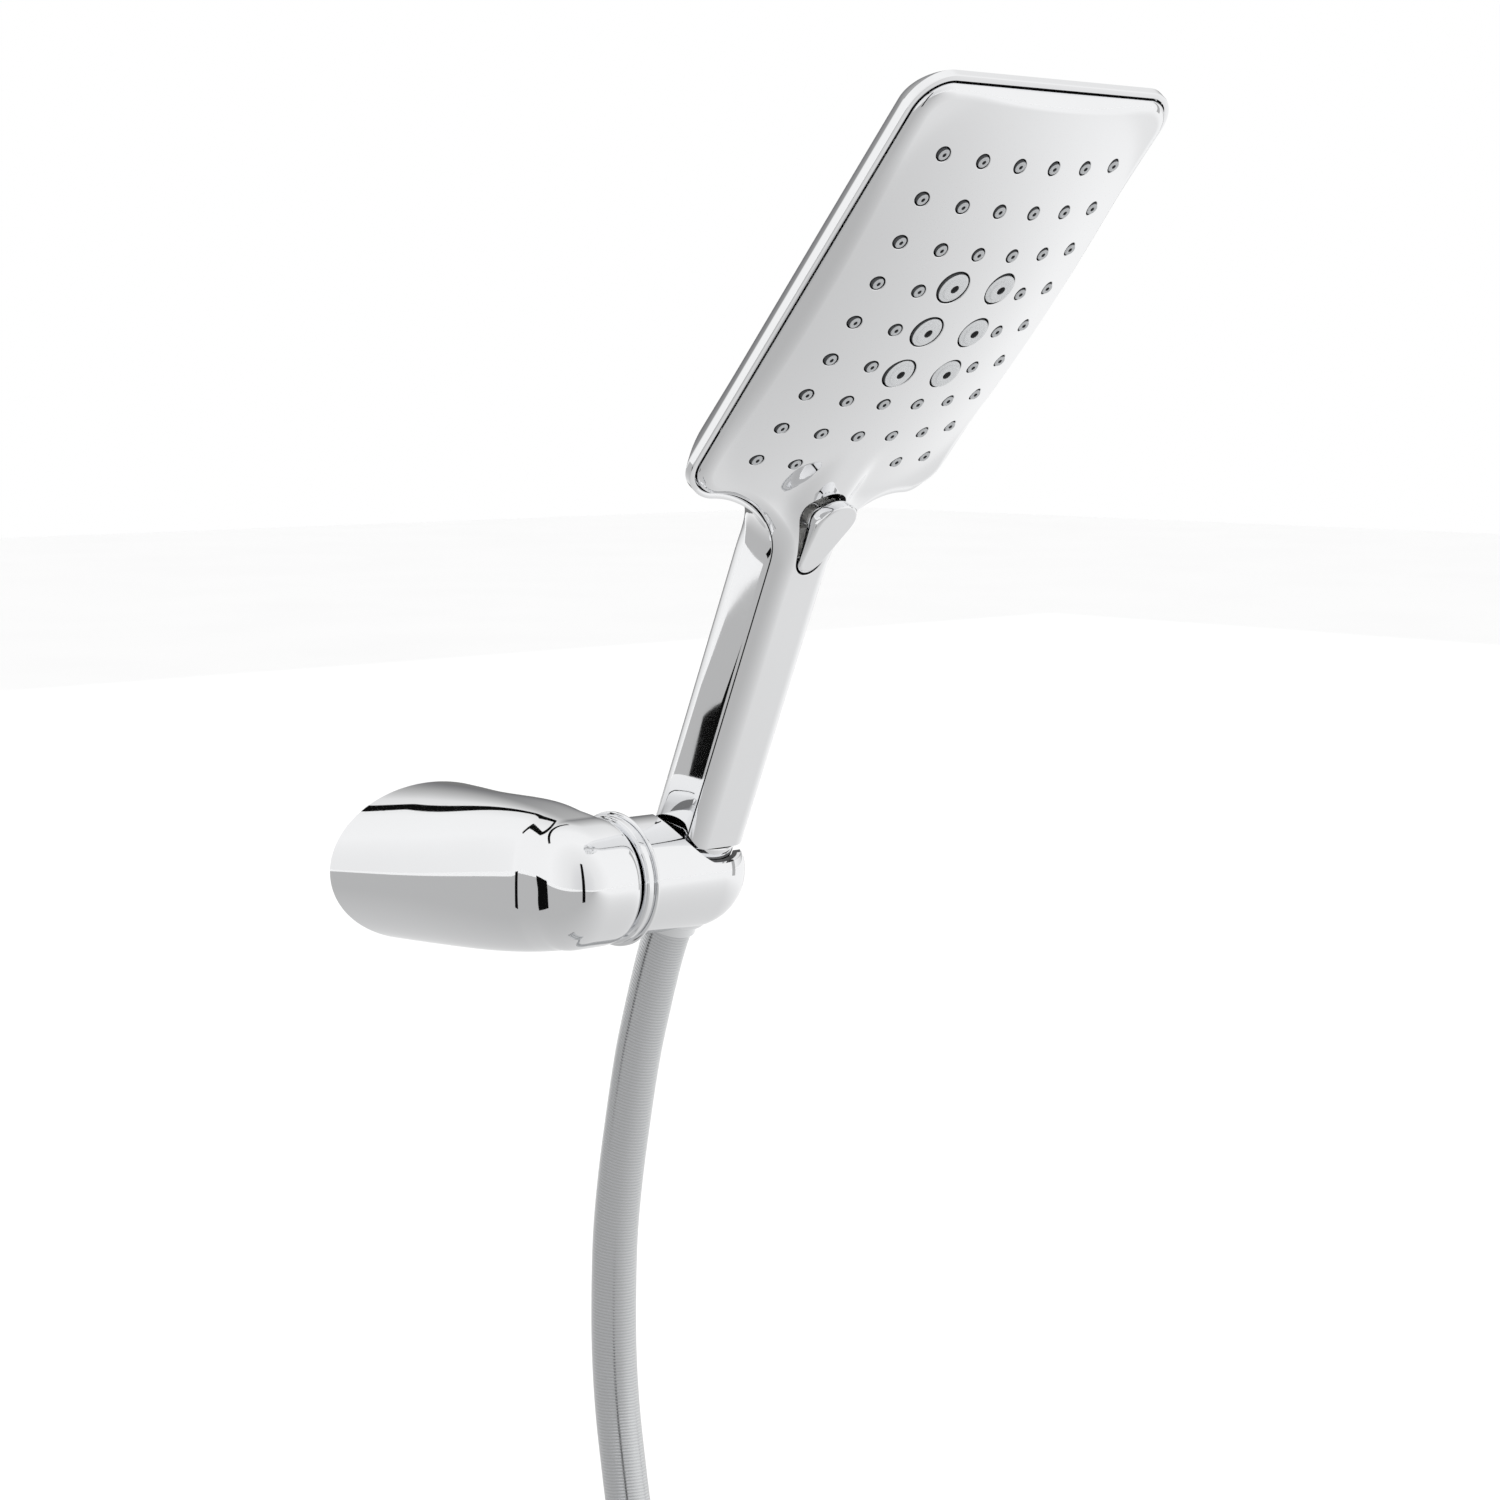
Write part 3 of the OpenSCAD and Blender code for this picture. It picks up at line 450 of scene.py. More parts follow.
def face_height(x, t):
    """Height of the front surface over the seam, before its edge is rounded."""
    pillow = 13 - (4.19e-3 * x ** 2 + 1.90e-3 * t ** 2 - 0.41e-6 * x ** 2 * t ** 2)
    pillow = soft_max(pillow, 2.2, 0.8) * smooth((t + 110) / 40)
    low = 4 - 1.2 * smooth((t + 92) / 26) - 1.5 * smooth((t + 66) / 20)
    width = 9.0 + 5.5 * smooth((t + 76) / 34)
    bump = 1 / (1 + (np.abs(x) / width) ** 4)
    table = np.interp(t, RIDGE_T, RIDGE_H)
    ridge = low + np.maximum(table - low, 0) * bump
    ridge = np.where(t < -96, 4.0, ridge)
    k = 0.9 * smooth((t + 100) / 20) + 0.01
    return soft_max(pillow, ridge, k)


def back_depth(x, t):
    """Depth of the rear surface behind the seam, inside its rounded edge."""
    flat = 18 - 3.5 * smooth((t + 90) / 24)
    on_head = smooth((t + 60) / 30)
    return flat + 0.6 * on_head * (1 - (x / 49) ** 2) * (1 - ((t - 2.5) / 72) ** 2) - 0.6 * on_head


def inside(poly, p):
    """Which points lie in a polygon."""
    x, y = p[:, 0], p[:, 1]
    hit = np.zeros(len(p), bool)
    for (x1, y1), (x2, y2) in zip(poly, np.roll(poly, -1, axis=0)):
        cross = (y1 > y) != (y2 > y)
        with np.errstate(divide="ignore", invalid="ignore"):
            at = (x2 - x1) * (y - y1) / (y2 - y1) + x1
        hit ^= cross & (x < at)
    return hit


def near(poly, p, d):
    """Which points are nearer than d to a polygon's corners, taken close together."""
    dense = []
    for a, b in zip(poly, np.roll(poly, -1, axis=0)):
        n = max(int(np.linalg.norm(b - a) / 0.8), 1)
        dense.extend(a + (b - a) * k / n for k in range(n))
    dense = np.array(dense)
    out = np.zeros(len(p), bool)
    for s in range(0, len(p), 2000):
        q = p[s:s + 2000]
        out[s:s + 2000] = (((q[:, None] - dense[None]) ** 2).sum(-1).min(1)) < d * d
    return out


def fill(boundary, holes, step):
    """Triangles inside boundary and outside holes, and the points that they need.

    The points are the boundary's, the holes', then new ones.
    """
    lo, hi = boundary.min(0), boundary.max(0)
    rows = []
    for j, t in enumerate(np.arange(lo[1] + step / 2, hi[1], step * 0.87)):
        shift = step / 2 if j % 2 else 0
        across = np.arange(lo[0] + shift, hi[0], step)
        rows.append(np.c_[across, np.full(len(across), t)])
    grid = np.vstack(rows)
    keep = inside(boundary, grid) & ~near(boundary, grid, step * 0.55)
    for h in holes:
        middle, reach = h.mean(0), np.abs(h - h.mean(0)).max() + step
        close = keep & (np.abs(grid - middle).max(1) < reach + step)
        index = np.where(close)[0]
        if len(index):
            bad = inside(h, grid[index]) | near(h, grid[index], step * 0.45)
            keep[index[bad]] = False
    grid = grid[keep]
    points = np.vstack([boundary, *holes, grid])
    edges, base = [], 0
    for loop in [boundary, *holes]:
        n = len(loop)
        edges += [(base + i, base + (i + 1) % n) for i in range(n)]
        base += n
    _, _, tris, origin, _, _ = geometry.delaunay_2d_cdt([Vector(p) for p in points], edges, [], 0, 1e-7, True)
    back = [o[0] if o else -1 for o in origin]
    assert -1 not in back
    tris = np.array([[back[i] for i in t] for t in tris])
    middle = points[tris].mean(1)
    keep = inside(boundary, middle)
    for h in holes:
        close = np.where(keep & (np.abs(middle - h.mean(0)).max(1) < np.abs(h - h.mean(0)).max() + 0.5))[0]
        if len(close):
            keep[close[inside(h, middle[close])]] = False
    tris = tris[keep]
    a, b, c = points[tris[:, 0]], points[tris[:, 1]], points[tris[:, 2]]
    area = (b[:, 0] - a[:, 0]) * (c[:, 1] - a[:, 1]) - (b[:, 1] - a[:, 1]) * (c[:, 0] - a[:, 0])
    tris = tris[np.abs(area) > 1e-9]
    area = area[np.abs(area) > 1e-9]
    tris[area < 0] = tris[area < 0][:, ::-1]
    return points, tris


def circle(x, t, r, n):
    a = np.arange(n) * 2 * math.pi / n
    return np.c_[x + r * np.cos(a), t + r * np.sin(a)]


# Places of the nozzles and the large jets, as on the CAD part.
PITCH = 13.14
nozzles, jets = [], []
for row in range(9):
    for col in range(6):
        if col in (2, 3) and (3 <= row <= 5 or row == 8):
            continue
        nozzles.append(((col - 2.5) * PITCH, (4 - row) * PITCH))
for side in (-1, 1):
    for row in (-1, 0, 1):
        jets.append((side * 9.0, row * 15.0 + 0.5))


def button_outline(grow, above=0.0, n=40):
    """The button's outline on the unrolled front: a round at each end, joined by straight sides."""
    r1, r2, z1, z2 = 4.4 + grow, 7.0 + grow + above, 108.2, 121.5
    d = z2 - z1
    lean = math.asin((r2 - r1) / d)
    pts = []
    for k in range(n + 1):
        a = -lean + (math.pi + 2 * lean) * k / n
        pts.append((r2 * math.cos(a), z2 + r2 * math.sin(a)))
    side = np.linspace(0, 1, 12)[1:-1]
    lower = []
    for k in range(n + 1):
        a = math.pi + lean + (math.pi - 2 * lean) * k / n
        lower.append((r1 * math.cos(a), z1 + r1 * math.sin(a)))
    p, q = np.array(pts[-1]), np.array(lower[0])
    left = [tuple(p + (q - p) * s) for s in side]
    p, q = np.array(lower[-1]), np.array(pts[0])
    right = [tuple(p + (q - p) * s) for s in side]
    return np.array(pts + left + lower + right)


def on_front(x, z):
    """The unrolled place of the front surface's point at x and height z on the handset."""
    z = np.asarray(z, float)
    t = z - 128.025 - 66.5
    for _ in range(12):
        h = face_height(x, t)
        _, zs = spine(t)
        _, u = out_dir(t)
        t = t + (z - (zs + h * u))
    return t


def surface_normals(x, t, height, sign):
    e = 0.02
    px = place(x + e, t, sign * height(x + e, t)) - place(x - e, t, sign * height(x - e, t))
    pt = place(x, t + e, sign * height(x, t + e)) - place(x, t - e, sign * height(x, t - e))
    return sign * unit(np.cross(px, pt))


def edge_round(u, q):
    """Share of the full height at u across a rounded edge that starts at an angle whose cosine is q."""
    low = np.sqrt(np.maximum(1 - q * q, 0))
    return (np.sqrt(np.maximum(1 - (1 - u) ** 2 * q * q, 0)) - low) / (1 - low)


def inward(o):
    t = unit(np.gradient(o, axis=0))
    n = np.c_[t[:, 1], -t[:, 0]]
    return n


def front_skin():
    o = outline()
    n = inward(o)
    mid = np.array([0, 0])
    if ((mid - o[len(o) // 2]) * n[len(o) // 2]).sum() < 0:
        n = -n
    n[0] = [1, 0] if o[0, 0] < 0 else [-1, 0]
    n[-1] = -n[0]
    t = o[:, 1]
    r = 5.65 - 2.05 * smooth((t + 92) / 22)
    q = 0.942 + 0.058 * smooth((t + 92) / 22)
    K = 9
    us = [1 - math.cos(math.radians(90 * k / K)) for k in range(K + 1)]

    def ring(u):
        p = o + n * (r * u)[:, None]
        h = face_height(p[:, 0], p[:, 1]) * edge_round(u, q) + 0.18 * (1 - u) ** 8
        return p, place(p[:, 0], p[:, 1], h)

    points, normals, rows = [], [], []
    count = 0
    for k, u in enumerate(us[:-1]):
        u0 = np.full(len(o), u)
        p, where = ring(u0)
        _, ahead = ring(u0 + 1e-3)
        behind = ring(np.maximum(u0 - 1e-3, 0))[1] if k else where
        du = ahead - behind
        ds = np.gradient(where, axis=0)
        nn = unit(np.cross(ds, du))
        points.append(where)
        normals.append(nn)
        rows.append(list(range(count, count + len(o))))
        count += len(o)
    sign = np.sign((normals[-1] * out_vector(t)).sum(1).mean())
    normals = [a * sign for a in normals]
    last = o + n * r[:, None]
    bottom = np.c_[np.linspace(last[-1, 0], last[0, 0], 8)[1:-1], np.full(6, last[0, 1])]
    boundary = np.vstack([last, bottom])
    holes, kinds = [], []
    for x, tt in nozzles:
        holes.append(circle(x, tt, 2.1 + 0.28, 28))
        kinds.append(("round", x, tt, 2.1, 0.28))
    for x, tt in jets:
        holes.append(circle(x, tt, 5.15 + 0.3, 48))
        kinds.append(("round", x, tt, 5.15, 0.3))
    loop = button_outline(0.95, 0.35)
    bt = on_front(loop[:, 0], loop[:, 1])
    holes.append(np.c_[loop[:, 0], bt])
    kinds.append(("button", 0, 0, 0, 0.25))
    flat, tris = fill(boundary, holes, 2.1)
    base = count
    inner_h = face_height(flat[:, 0], flat[:, 1])
    points.append(place(flat[:, 0], flat[:, 1], inner_h))
    normals.append(surface_normals(flat[:, 0], flat[:, 1], face_height, 1))
    count += len(flat)
    rows.append(list(range(base, base + len(o))))
    faces = []
    for a, b in zip(rows, rows[1:]):
        faces += strip(a, b, False)
    faces += [tuple(base + i for i in tri) for tri in tris]
    lips = []
    at = len(boundary)
    for h, (kind, x, tt, _, f) in zip(holes, kinds):
        m = len(h)
        previous = list(range(base + at, base + at + m))
        top = np.vstack(points)[base + at:base + at + m]
        if kind == "round":
            centre = place(x, tt, face_height(np.array(x), np.array(tt)))
            out = out_vector(np.full(m, tt))
            flat_in = unit((centre - top) - ((centre - top) * out).sum(1)[:, None] * out)
        else:
            out = out_vector(h[:, 1])
            small = button_outline(0.7, 0.35)
            st = on_front(small[:, 0], small[:, 1])
            target = place(small[:, 0], st, face_height(small[:, 0], st))
            flat_in = unit((target - top) - ((target - top) * out).sum(1)[:, None] * out)
        for k in (1, 2, 3):
            a = math.radians(30 * k)
            where = top + flat_in * f * math.sin(a) - out * f * (1 - math.cos(a))
            points.append(where)
            normals.append(unit(out * math.cos(a) + flat_in * math.sin(a)))
            now = list(range(count, count + m))
            count += m
            faces += strip(previous, now, True)
            previous = now
        lips.append((previous, out, f))
        at += m
    points, normals = np.vstack(points), np.vstack(normals)
    return points, normals, faces, lips


def close_shell(points, normals, faces, wall, moved=()):
    """Thickness: an inner copy of the surface, joined to it along every open edge."""
    inner = points - normals * wall
    for index, where in moved:
        inner[index] = where
    n = len(points)
    use = {}
    for f in faces:
        for a, b in zip(f, f[1:] + f[:1]):
            use[(a, b)] = use.get((a, b), 0) + 1
    rim = [(a, b) for (a, b) in use if (b, a) not in use]
    made = list(faces) + [tuple(i + n for i in reversed(f)) for f in faces]
    made += [(b, a, a + n, b + n) for a, b in rim]
    return np.vstack([points, inner]), made


def oriented(points, faces, normals):
    """Faces turned to agree with the normals."""
    out = []
    for f in faces:
        a, b, c = points[f[0]], points[f[1]], points[f[2]]
        g = np.cross(b - a, c - a)
        out.append(tuple(f) if g @ normals[f[0]] >= 0 else tuple(reversed(f)))
    return out


points, normals, faces, lips = front_skin()
faces = oriented(points, faces, normals)
moved = []
for ring_index, out, f in lips:
    moved.append((np.array(ring_index), points[ring_index] - out * (2.2 - f)))
    for back in (1, 2):
        index = np.array(ring_index) - back * len(ring_index)
        moved.append((index, points[index] - out * (2.2 - f) ))
whole, made = close_shell(points, normals, faces, 2.2, moved)
loops = []
for i, f in enumerate(made):
    for v in f:
        loops.append(tuple(normals[v]) if i < len(faces) else (0.0, 0.0, 0.0))
# the walls along the seam and round the holes take the second material, near-black painted shade
marks = [0] * len(made)
for i in range(2 * len(faces), len(made)):
    marks[i] = 1
front = mesh_object("front_shell_skin", whole, made, [chrome, seam_painted_shade], loops, marks, sharp=50)
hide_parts("front_shell")


def rear_skin():
    o = outline()
    n = inward(o)
    if ((np.array([0, 0]) - o[len(o) // 2]) * n[len(o) // 2]).sum() < 0:
        n = -n
    n[0] = [1, 0] if o[0, 0] < 0 else [-1, 0]
    n[-1] = -n[0]
    t = o[:, 1]
    on_head = smooth((t + 84) / 16)
    grow = 2.1 * on_head
    rim = 0.6 + 1.1 * on_head
    floor = -0.9 - 1.3 * on_head
    wall = 12 - 9.5 * smooth((t + 92) / 26)         # straight side before the back's rounding
    bulge = 0.35 * (1 - on_head)
    r = 6 + 4.9 * smooth((t + 86) / 20)
    flat_n = n

    def at(offset, h):
        p = o - flat_n * np.asarray(offset)[:, None] if np.ndim(offset) else o - flat_n * offset
        return place(p[:, 0], p[:, 1], h)

    top = -0.32 * (1 - on_head) - 0.05 * on_head
    sections = []                # rows of points, from the seam's floor to the back
    sections.append(at(np.full(len(o), -2.0), floor))
    sections.append(at(grow - rim, floor))
    sections.append(at(grow - rim, top - 0.2))
    sections.append(at(grow - rim + 0.18, top))
    sections.append(at(grow - 0.22, top))
    sections.append(at(grow - 0.06, top - 0.07))
    sections.append(at(grow, top - 0.25))
    for k in range(1, 7):
        s = k / 6
        fall = top - 0.25 + (-wall - (top - 0.25)) * s * np.ones(len(o))
        sections.append(at(grow + bulge * np.sin(s * math.pi / 2), fall))
    K = 12
    edge = grow + bulge
    outer = o - flat_n * edge[:, None]
    # The head's back is a dish, the handle's a rounded box.
    dish = np.maximum(smooth((t + 67) / 14), smooth((np.abs(o[:, 0]) - 29) / 9))
    middle = np.c_[np.clip(o[:, 0], -31, 31), np.clip(t, -50, 53)]
    target = outer + flat_n * r[:, None]
    target += dish[:, None] * (middle + 0.12 * (outer - middle) - target)
    for k in range(1, K):
        a = math.radians(90 * k / K)
        across = (1 - math.cos(a)) * (1 - dish) + (k / K) ** 1.3 * dish
        deeper = math.sin(a) * (1 - dish) + (1 - (1 - (k / K) ** 1.3) ** 1.8) * dish
        p = outer + (target - outer) * across[:, None]
        deep = back_depth(p[:, 0], p[:, 1])
        sections.append(place(p[:, 0], p[:, 1], -(wall + (deep - wall) * deeper)))
    last = target
    bottom = np.c_[np.linspace(last[-1, 0], last[0, 0], 8)[1:-1], np.full(6, last[0, 1])]
    boundary = np.vstack([last, bottom])
    flat, tris = fill(boundary, [], 2.6)
    m = len(o)
    rows = [list(range(i * m, (i + 1) * m)) for i in range(len(sections))]
    base = len(sections) * m
    points = np.vstack([*sections, place(flat[:, 0], flat[:, 1], -back_depth(flat[:, 0], flat[:, 1]))])
    rows.append(list(range(base, base + m)))
    # dark marks the seam's floor and its wall, which take the near-black second material: painted shade
    faces, dark = [], []
    for i, (a, b) in enumerate(zip(rows, rows[1:])):
        s = strip(a, b, False)
        faces += s
        dark += [1 if i < 2 else 0] * len(s)
    faces += [tuple(base + i for i in tri) for tri in tris]
    dark += [0] * len(tris)
    # Inside: the same rows from the side wall on, moved in by the wall.
    normals = np.zeros_like(points)
    for f in faces:
        a, b, c = points[f[0]], points[f[1]], points[f[2]]
        g = np.cross(b - a, c - a)
        for v in f:
            normals[v] += g
    normals = unit(normals)
    outward = normals[rows[9][m // 2]] @ (points[rows[9][m // 2]] - hand(0, 0, 190))
    if outward < 0:
        normals = -normals
    first = rows[8][0]
    inner = points[first:] - normals[first:] * 2.2
    shift = len(points) - first
    inside_faces = []
    for f in faces:
        if min(f) >= first:
            inside_faces.append(tuple(v + shift for v in f))
    link = strip(rows[0], [v + shift for v in rows[8]], False)
    points = np.vstack([points, inner])
    return points, faces, inside_faces, link, dark


points, faces, inner_faces, link, dark = rear_skin()
made = faces + inner_faces + link
# the seam's floor, its wall and the strip joining it to the inside take the painted shade
marks = dark + [0] * len(inner_faces) + [1] * len(link)
rear = mesh_object("rear_shell_skin", points, made, [chrome, seam_painted_shade], None, marks)
mend(rear, 40)
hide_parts("rear_shell")

# ------------------------------------------------------------ nozzles, jets
OUT = out_vector(np.array(0.0))


def lathes(name, profile, places, material, segments, sharp=40):
    parts = [lathe(profile(float(face_height(np.array(x), np.array(t)))), place(x, t, 0), OUT, X, segments)
             for x, t in places]
    o = mesh_object(name, *join(parts), [material, tip_side_painted_shade])
    mend(o, sharp)
    for poly in o.data.polygons:                    # the sides of a tip take a near-black material: painted shade in the gap round it
        if abs(Vector(OUT).dot(poly.normal)) < 0.5:
            poly.material_index = 1
    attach(o, "handset")
    return o


def nozzle_profile(h):
    h += 0.55
    return rounded_profile([(0, h - 1.4, 0), (0.5, h - 1.4, 0), (0.62, h - 0.2, 0.06), (1.72, h - 0.12, 0.4),
                            (1.9, h - 3, 0), (1.9, 0.5, 0), (0, 0.5, 0)], 4)


def jet_profile(h):
    h += 1.35
    return rounded_profile([(0, h - 2.6, 0), (1.25, h - 2.6, 0), (1.3, h - 0.75, 0.08), (3.35, h - 0.7, 0.15),
                            (3.6, h - 1.0, 0.1), (4.7, h - 1.25, 0.3), (4.8, h - 4, 0), (4.8, 0.5, 0),
                            (0, 0.5, 0)], 3)


tips = lathes("nozzle_tips", nozzle_profile, nozzles, nozzle_rubber, 24)
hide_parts("nozzle_mat")
big = lathes("jet_tips", jet_profile, jets, jet_plastic, 48)
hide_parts("jet_inserts")
# dark plugs in the nozzles' and jets' centre holes, painted shade
dots = lathes("nozzle_outlets", lambda h: [(0, h - 0.05), (0.56, h - 0.05), (0.52, h - 0.9), (0, h - 0.9)],
              nozzles, outlet_painted_shade, 16)
dots = lathes("jet_outlets", lambda h: [(0, h - 0.25), (1.27, h - 0.25), (1.2, h - 1.3), (0, h - 1.3)],
              jets, outlet_painted_shade, 24)


def rounded_rect(w, l, r, n=10):
    out = []
    for cx, cy, a0 in ((w / 2 - r, l / 2 - r, 0), (r - w / 2, l / 2 - r, 90), (r - w / 2, r - l / 2, 180),
                       (w / 2 - r, r - l / 2, 270)):
        for k in range(n + 1):
            a = math.radians(a0 + 90 * k / n)
            out.append((cx + r * math.cos(a), cy + r * math.sin(a)))
    return np.array(out)


def prism(name, rings, material, body, sharp=40):
    """Rings of points, each joined to the next, closed at both ends."""
    points = np.vstack(rings)
    m = len(rings[0])
    rows = [list(range(i * m, (i + 1) * m)) for i in range(len(rings))]
    faces = [f for a, b in zip(rows, rows[1:]) for f in strip(a, b, True)]
    faces += [tuple(reversed(rows[0])), tuple(rows[-1])]
    o = mesh_object(name, points, faces, [material])
    mend(o, sharp)
    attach(o, body)
    return o


sheet_rings = []
for inset, h in ((0.6, 0.5), (0, 1.0), (0, 2.4), (0.2, 2.8), (0.6, 3.0)):
    r = rounded_rect(75.7 - 2 * inset, 113 - 2 * inset, 7 - inset)
    sheet_rings.append(place(r[:, 0], r[:, 1], h))
mat_base = prism("nozzle_base", sheet_rings, nozzle_rubber, "handset")

# ------------------------------------------------------------- mode button
SLOPE = math.radians(19.2)


def button_front(z):
    return 11 + (z - 103.8) * math.tan(SLOPE)


FRONT_OUT = -math.cos(SLOPE) * BACK - math.sin(SLOPE) * UP
rings, ring_normals = [], []
ROUND = 0.9
for depth, grow in ((0, -0.5), (0.5, 0)):
    loop = button_outline(grow)
    rings.append(hand(loop[:, 0], -(10.4 + depth + 0.11 * (loop[:, 1] - 103.8)), loop[:, 1]))
    ring_normals.append(np.zeros((len(loop), 3)))
loop0 = button_outline(0)
shape = unit(np.roll(loop0, -1, axis=0) - np.roll(loop0, 1, axis=0))
side_out = shape[:, 1:2] * X - shape[:, 0:1] * UP
for k in range(7):
    a = math.radians(15 * k)
    loop = button_outline(-ROUND * (1 - math.cos(a)))
    where = hand(loop[:, 0], -button_front(loop[:, 1]), loop[:, 1])
    rings.append(where - FRONT_OUT * (ROUND * (1 - math.sin(a))))
    ring_normals.append(unit(side_out * math.cos(a) + FRONT_OUT * math.sin(a)))
points = np.vstack(rings)
corner = np.vstack(ring_normals)
m = len(loop0)
rows = [list(range(i * m, (i + 1) * m)) for i in range(len(rings))]
faces = [f for a, b in zip(rows, rows[1:]) for f in strip(a, b, True)]
faces += [tuple(reversed(rows[0])), tuple(rows[-1])]
middle = points.mean(0)
turned = []
for f in faces:
    p = points[list(f)]
    g = np.cross(p[1] - p[0], p[2] - p[0]) if len(f) == 4 else (FRONT_OUT if f[0] >= m else -FRONT_OUT)
    if len(f) > 4:
        c = np.cross(p[m // 4] - p[0], p[m // 2] - p[0])
        turned.append(f if c @ g > 0 else tuple(reversed(f)))
    else:
        turned.append(f if g @ (p.mean(0) - middle) > 0 else tuple(reversed(f)))
loops = []
for f in turned:
    for v in f:
        loops.append(tuple(corner[v]) if min(f) >= 2 * m else (0.0, 0.0, 0.0))
button = mesh_object("button_cap", points, turned, [chrome], loops)
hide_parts("mode_button")

# ----------------------------------------------------------------- bracket
HALF = 13.5
BOSS = 19.0


def bracket_half(y):
    s = np.clip(1 + y / 58, 0, 1)
    return HALF + 24 * s ** 1.12


def bracket_section(w, h, right, left, count=96):
    """Half a superellipse, from the swivel's side over the top to the closed side.

    It is squarer or rounder on each.
    """
    a = np.linspace(0, math.pi, count + 1)
    c, q = np.cos(a), np.sin(a)
    n = np.where(c > 0, right, left)
    return np.c_[w * np.sign(c) * np.abs(c) ** (2 / n), h * np.abs(q) ** (2 / n)]


top_rows, low_rows = [], []
for y in np.r_[np.linspace(0, -46, 36), np.linspace(-47, -66, 15)]:
    s = float(smooth(np.array((-y - 14) / 52)))
    sec = bracket_section(float(bracket_half(y)), 24 - 5 * (-y / 66) ** 2.6, 2.0 + 7.0 * s ** 2,
                          2.0 + 0.5 * s)
    top_rows.append(np.c_[sec[:, 0], np.full(len(sec), y), sec[:, 1]])
    low_rows.append(np.c_[sec[:, 0], np.full(len(sec), y), -sec[:, 1]])
for rows_ in (top_rows, low_rows):                  # the back is hollow, and takes the wall plate
    mouth = rows_[0] * [0.94, 1, 0.94]
    rows_.insert(0, mouth)
    rows_.insert(0, mouth + [0, -4.2, 0])
sec = bracket_section(HALF, BOSS, 9.0, 2.5)
turn_rows = [np.c_[sec[:, 0], -66 - sec[:, 1] * math.sin(a), sec[:, 1] * math.cos(a)]
             for a in np.radians(np.arange(3, 180, 3))]
all_rows = top_rows + turn_rows + low_rows[::-1]
points = np.vstack(all_rows)
m = len(all_rows[0])
rows = [list(range(i * m, (i + 1) * m)) for i in range(len(all_rows))]
faces = [f for a, b in zip(rows, rows[1:]) for f in strip(a, b, False)]
bracket = mesh_object("bracket_skin", points, faces, [chrome])
mend(bracket, 60)
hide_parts("bracket_body")

SWIVEL = np.array([0, -66.0, 0])
XD, YD = np.array([1.0, 0, 0]), np.array([0, 1.0, 0])


def turned_piece(name, profile, origin, axis, side, material, segments=160, sharp=35):
    o = mesh_object(name, *lathe(profile, origin, axis, side, segments), [material])
    mend(o, sharp)
    return o


ring = turned_piece("ring_trim", rounded_profile(
    [(11, 13.6, 0), (18.3, 13.6, 0), (18.3, 14.15, 0), (19, 14.2, 0.25), (19, 16.35, 0.3), (18.5, 16.4, 0),
     (18.5, 16.8, 0), (19.9, 16.85, 0.25), (19.9, 17.7, 0.25), (11, 17.7, 0), (11, 13.6, 0)]),
    SWIVEL, XD, YD, chrome)
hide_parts("trim_ring")

# ------------------------------------------------------------------ holder
arc = [(17.5 * math.cos(a), 45.5 + 17.5 * math.sin(a)) for a in np.radians(np.arange(0, 90, 2.5))]
barrel = turned_piece("holder_skin", rounded_profile([(0, 17.9, 0), (17.5, 17.9, 0.4), (17.5, 30, 0),
                                                      (17.5, 44, 0)])
                      + arc + [(0, 63.0)], SWIVEL, XD, YD, chrome, 192)


def cut_from(target, points, faces):
    tool = mesh_object("tool", points, faces)
    mend(tool, 30)
    b = target.modifiers.new("cut", "BOOLEAN")
    b.object, b.operation, b.solver = tool, "DIFFERENCE", "EXACT"
    graph = bpy.context.evaluated_depsgraph_get()
    made = bpy.data.meshes.new_from_object(target.evaluated_get(graph))
    target.modifiers.clear()
    target.data = made
    bpy.data.objects.remove(tool)


cone_at = lambda z, g: 11.6 + g - (13.4 - z) * 1.6 / 29.4
cut_from(barrel, *lathe([(0, -24), (cone_at(-24, 1.7), -24), (cone_at(9.8, 1.7), 9.8), (14.0, 9.8),
                         (14.5, 10.3), (14.5, 30), (0, 30)], AXIS, UP, X, 128))
low, high = np.array([0, -9.2, -40]), np.array([40, 9.2, 40])
corners = [hand(x, y, z) for x in (low[0], high[0]) for y in (low[1], high[1]) for z in (low[2], high[2])]
cut_from(barrel, corners, [(0, 1, 3, 2), (4, 6, 7, 5), (0, 4, 5, 1), (2, 3, 7, 6), (0, 2, 6, 4),
                           (1, 5, 7, 3)])
mesh = barrel.data
mesh.polygons.foreach_set("use_smooth", [True] * len(mesh.polygons))
mesh.set_sharp_from_angle(angle=math.radians(25))
own = []
for poly in mesh.polygons:
    p = np.array([mesh.vertices[v].co for v in poly.vertices]) * 1000 - SWIVEL
    radial = np.c_[np.where(p[:, 0] > 45.5, p[:, 0] - 45.5, 0), p[:, 1], p[:, 2]]
    off = np.abs(np.linalg.norm(radial, axis=1) - 17.5)
    on = off.max() < 0.03 and (p[:, 0] > 18.2).all()
    for v in unit(radial):
        own.append(tuple(v) if on else (0.0, 0.0, 0.0))
mesh.normals_split_custom_set(own)
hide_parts("holder_body")

# ---------------------------------------------------------- cone nut, collar
cone = turned_piece("cone_sleeve", rounded_profile(
    [(10.45, 13.3, 0), (11.6, 13.3, 0.4), (10.05, -15.2, 0.8), (9.2, -16, 0.3), (8.1, -16, 0.2), (8.1, 3, 0),
     (10.45, 3, 0), (10.45, 13.3, 0)]),
    AXIS, UP, X, chrome, 128)
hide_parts("cone_nut")

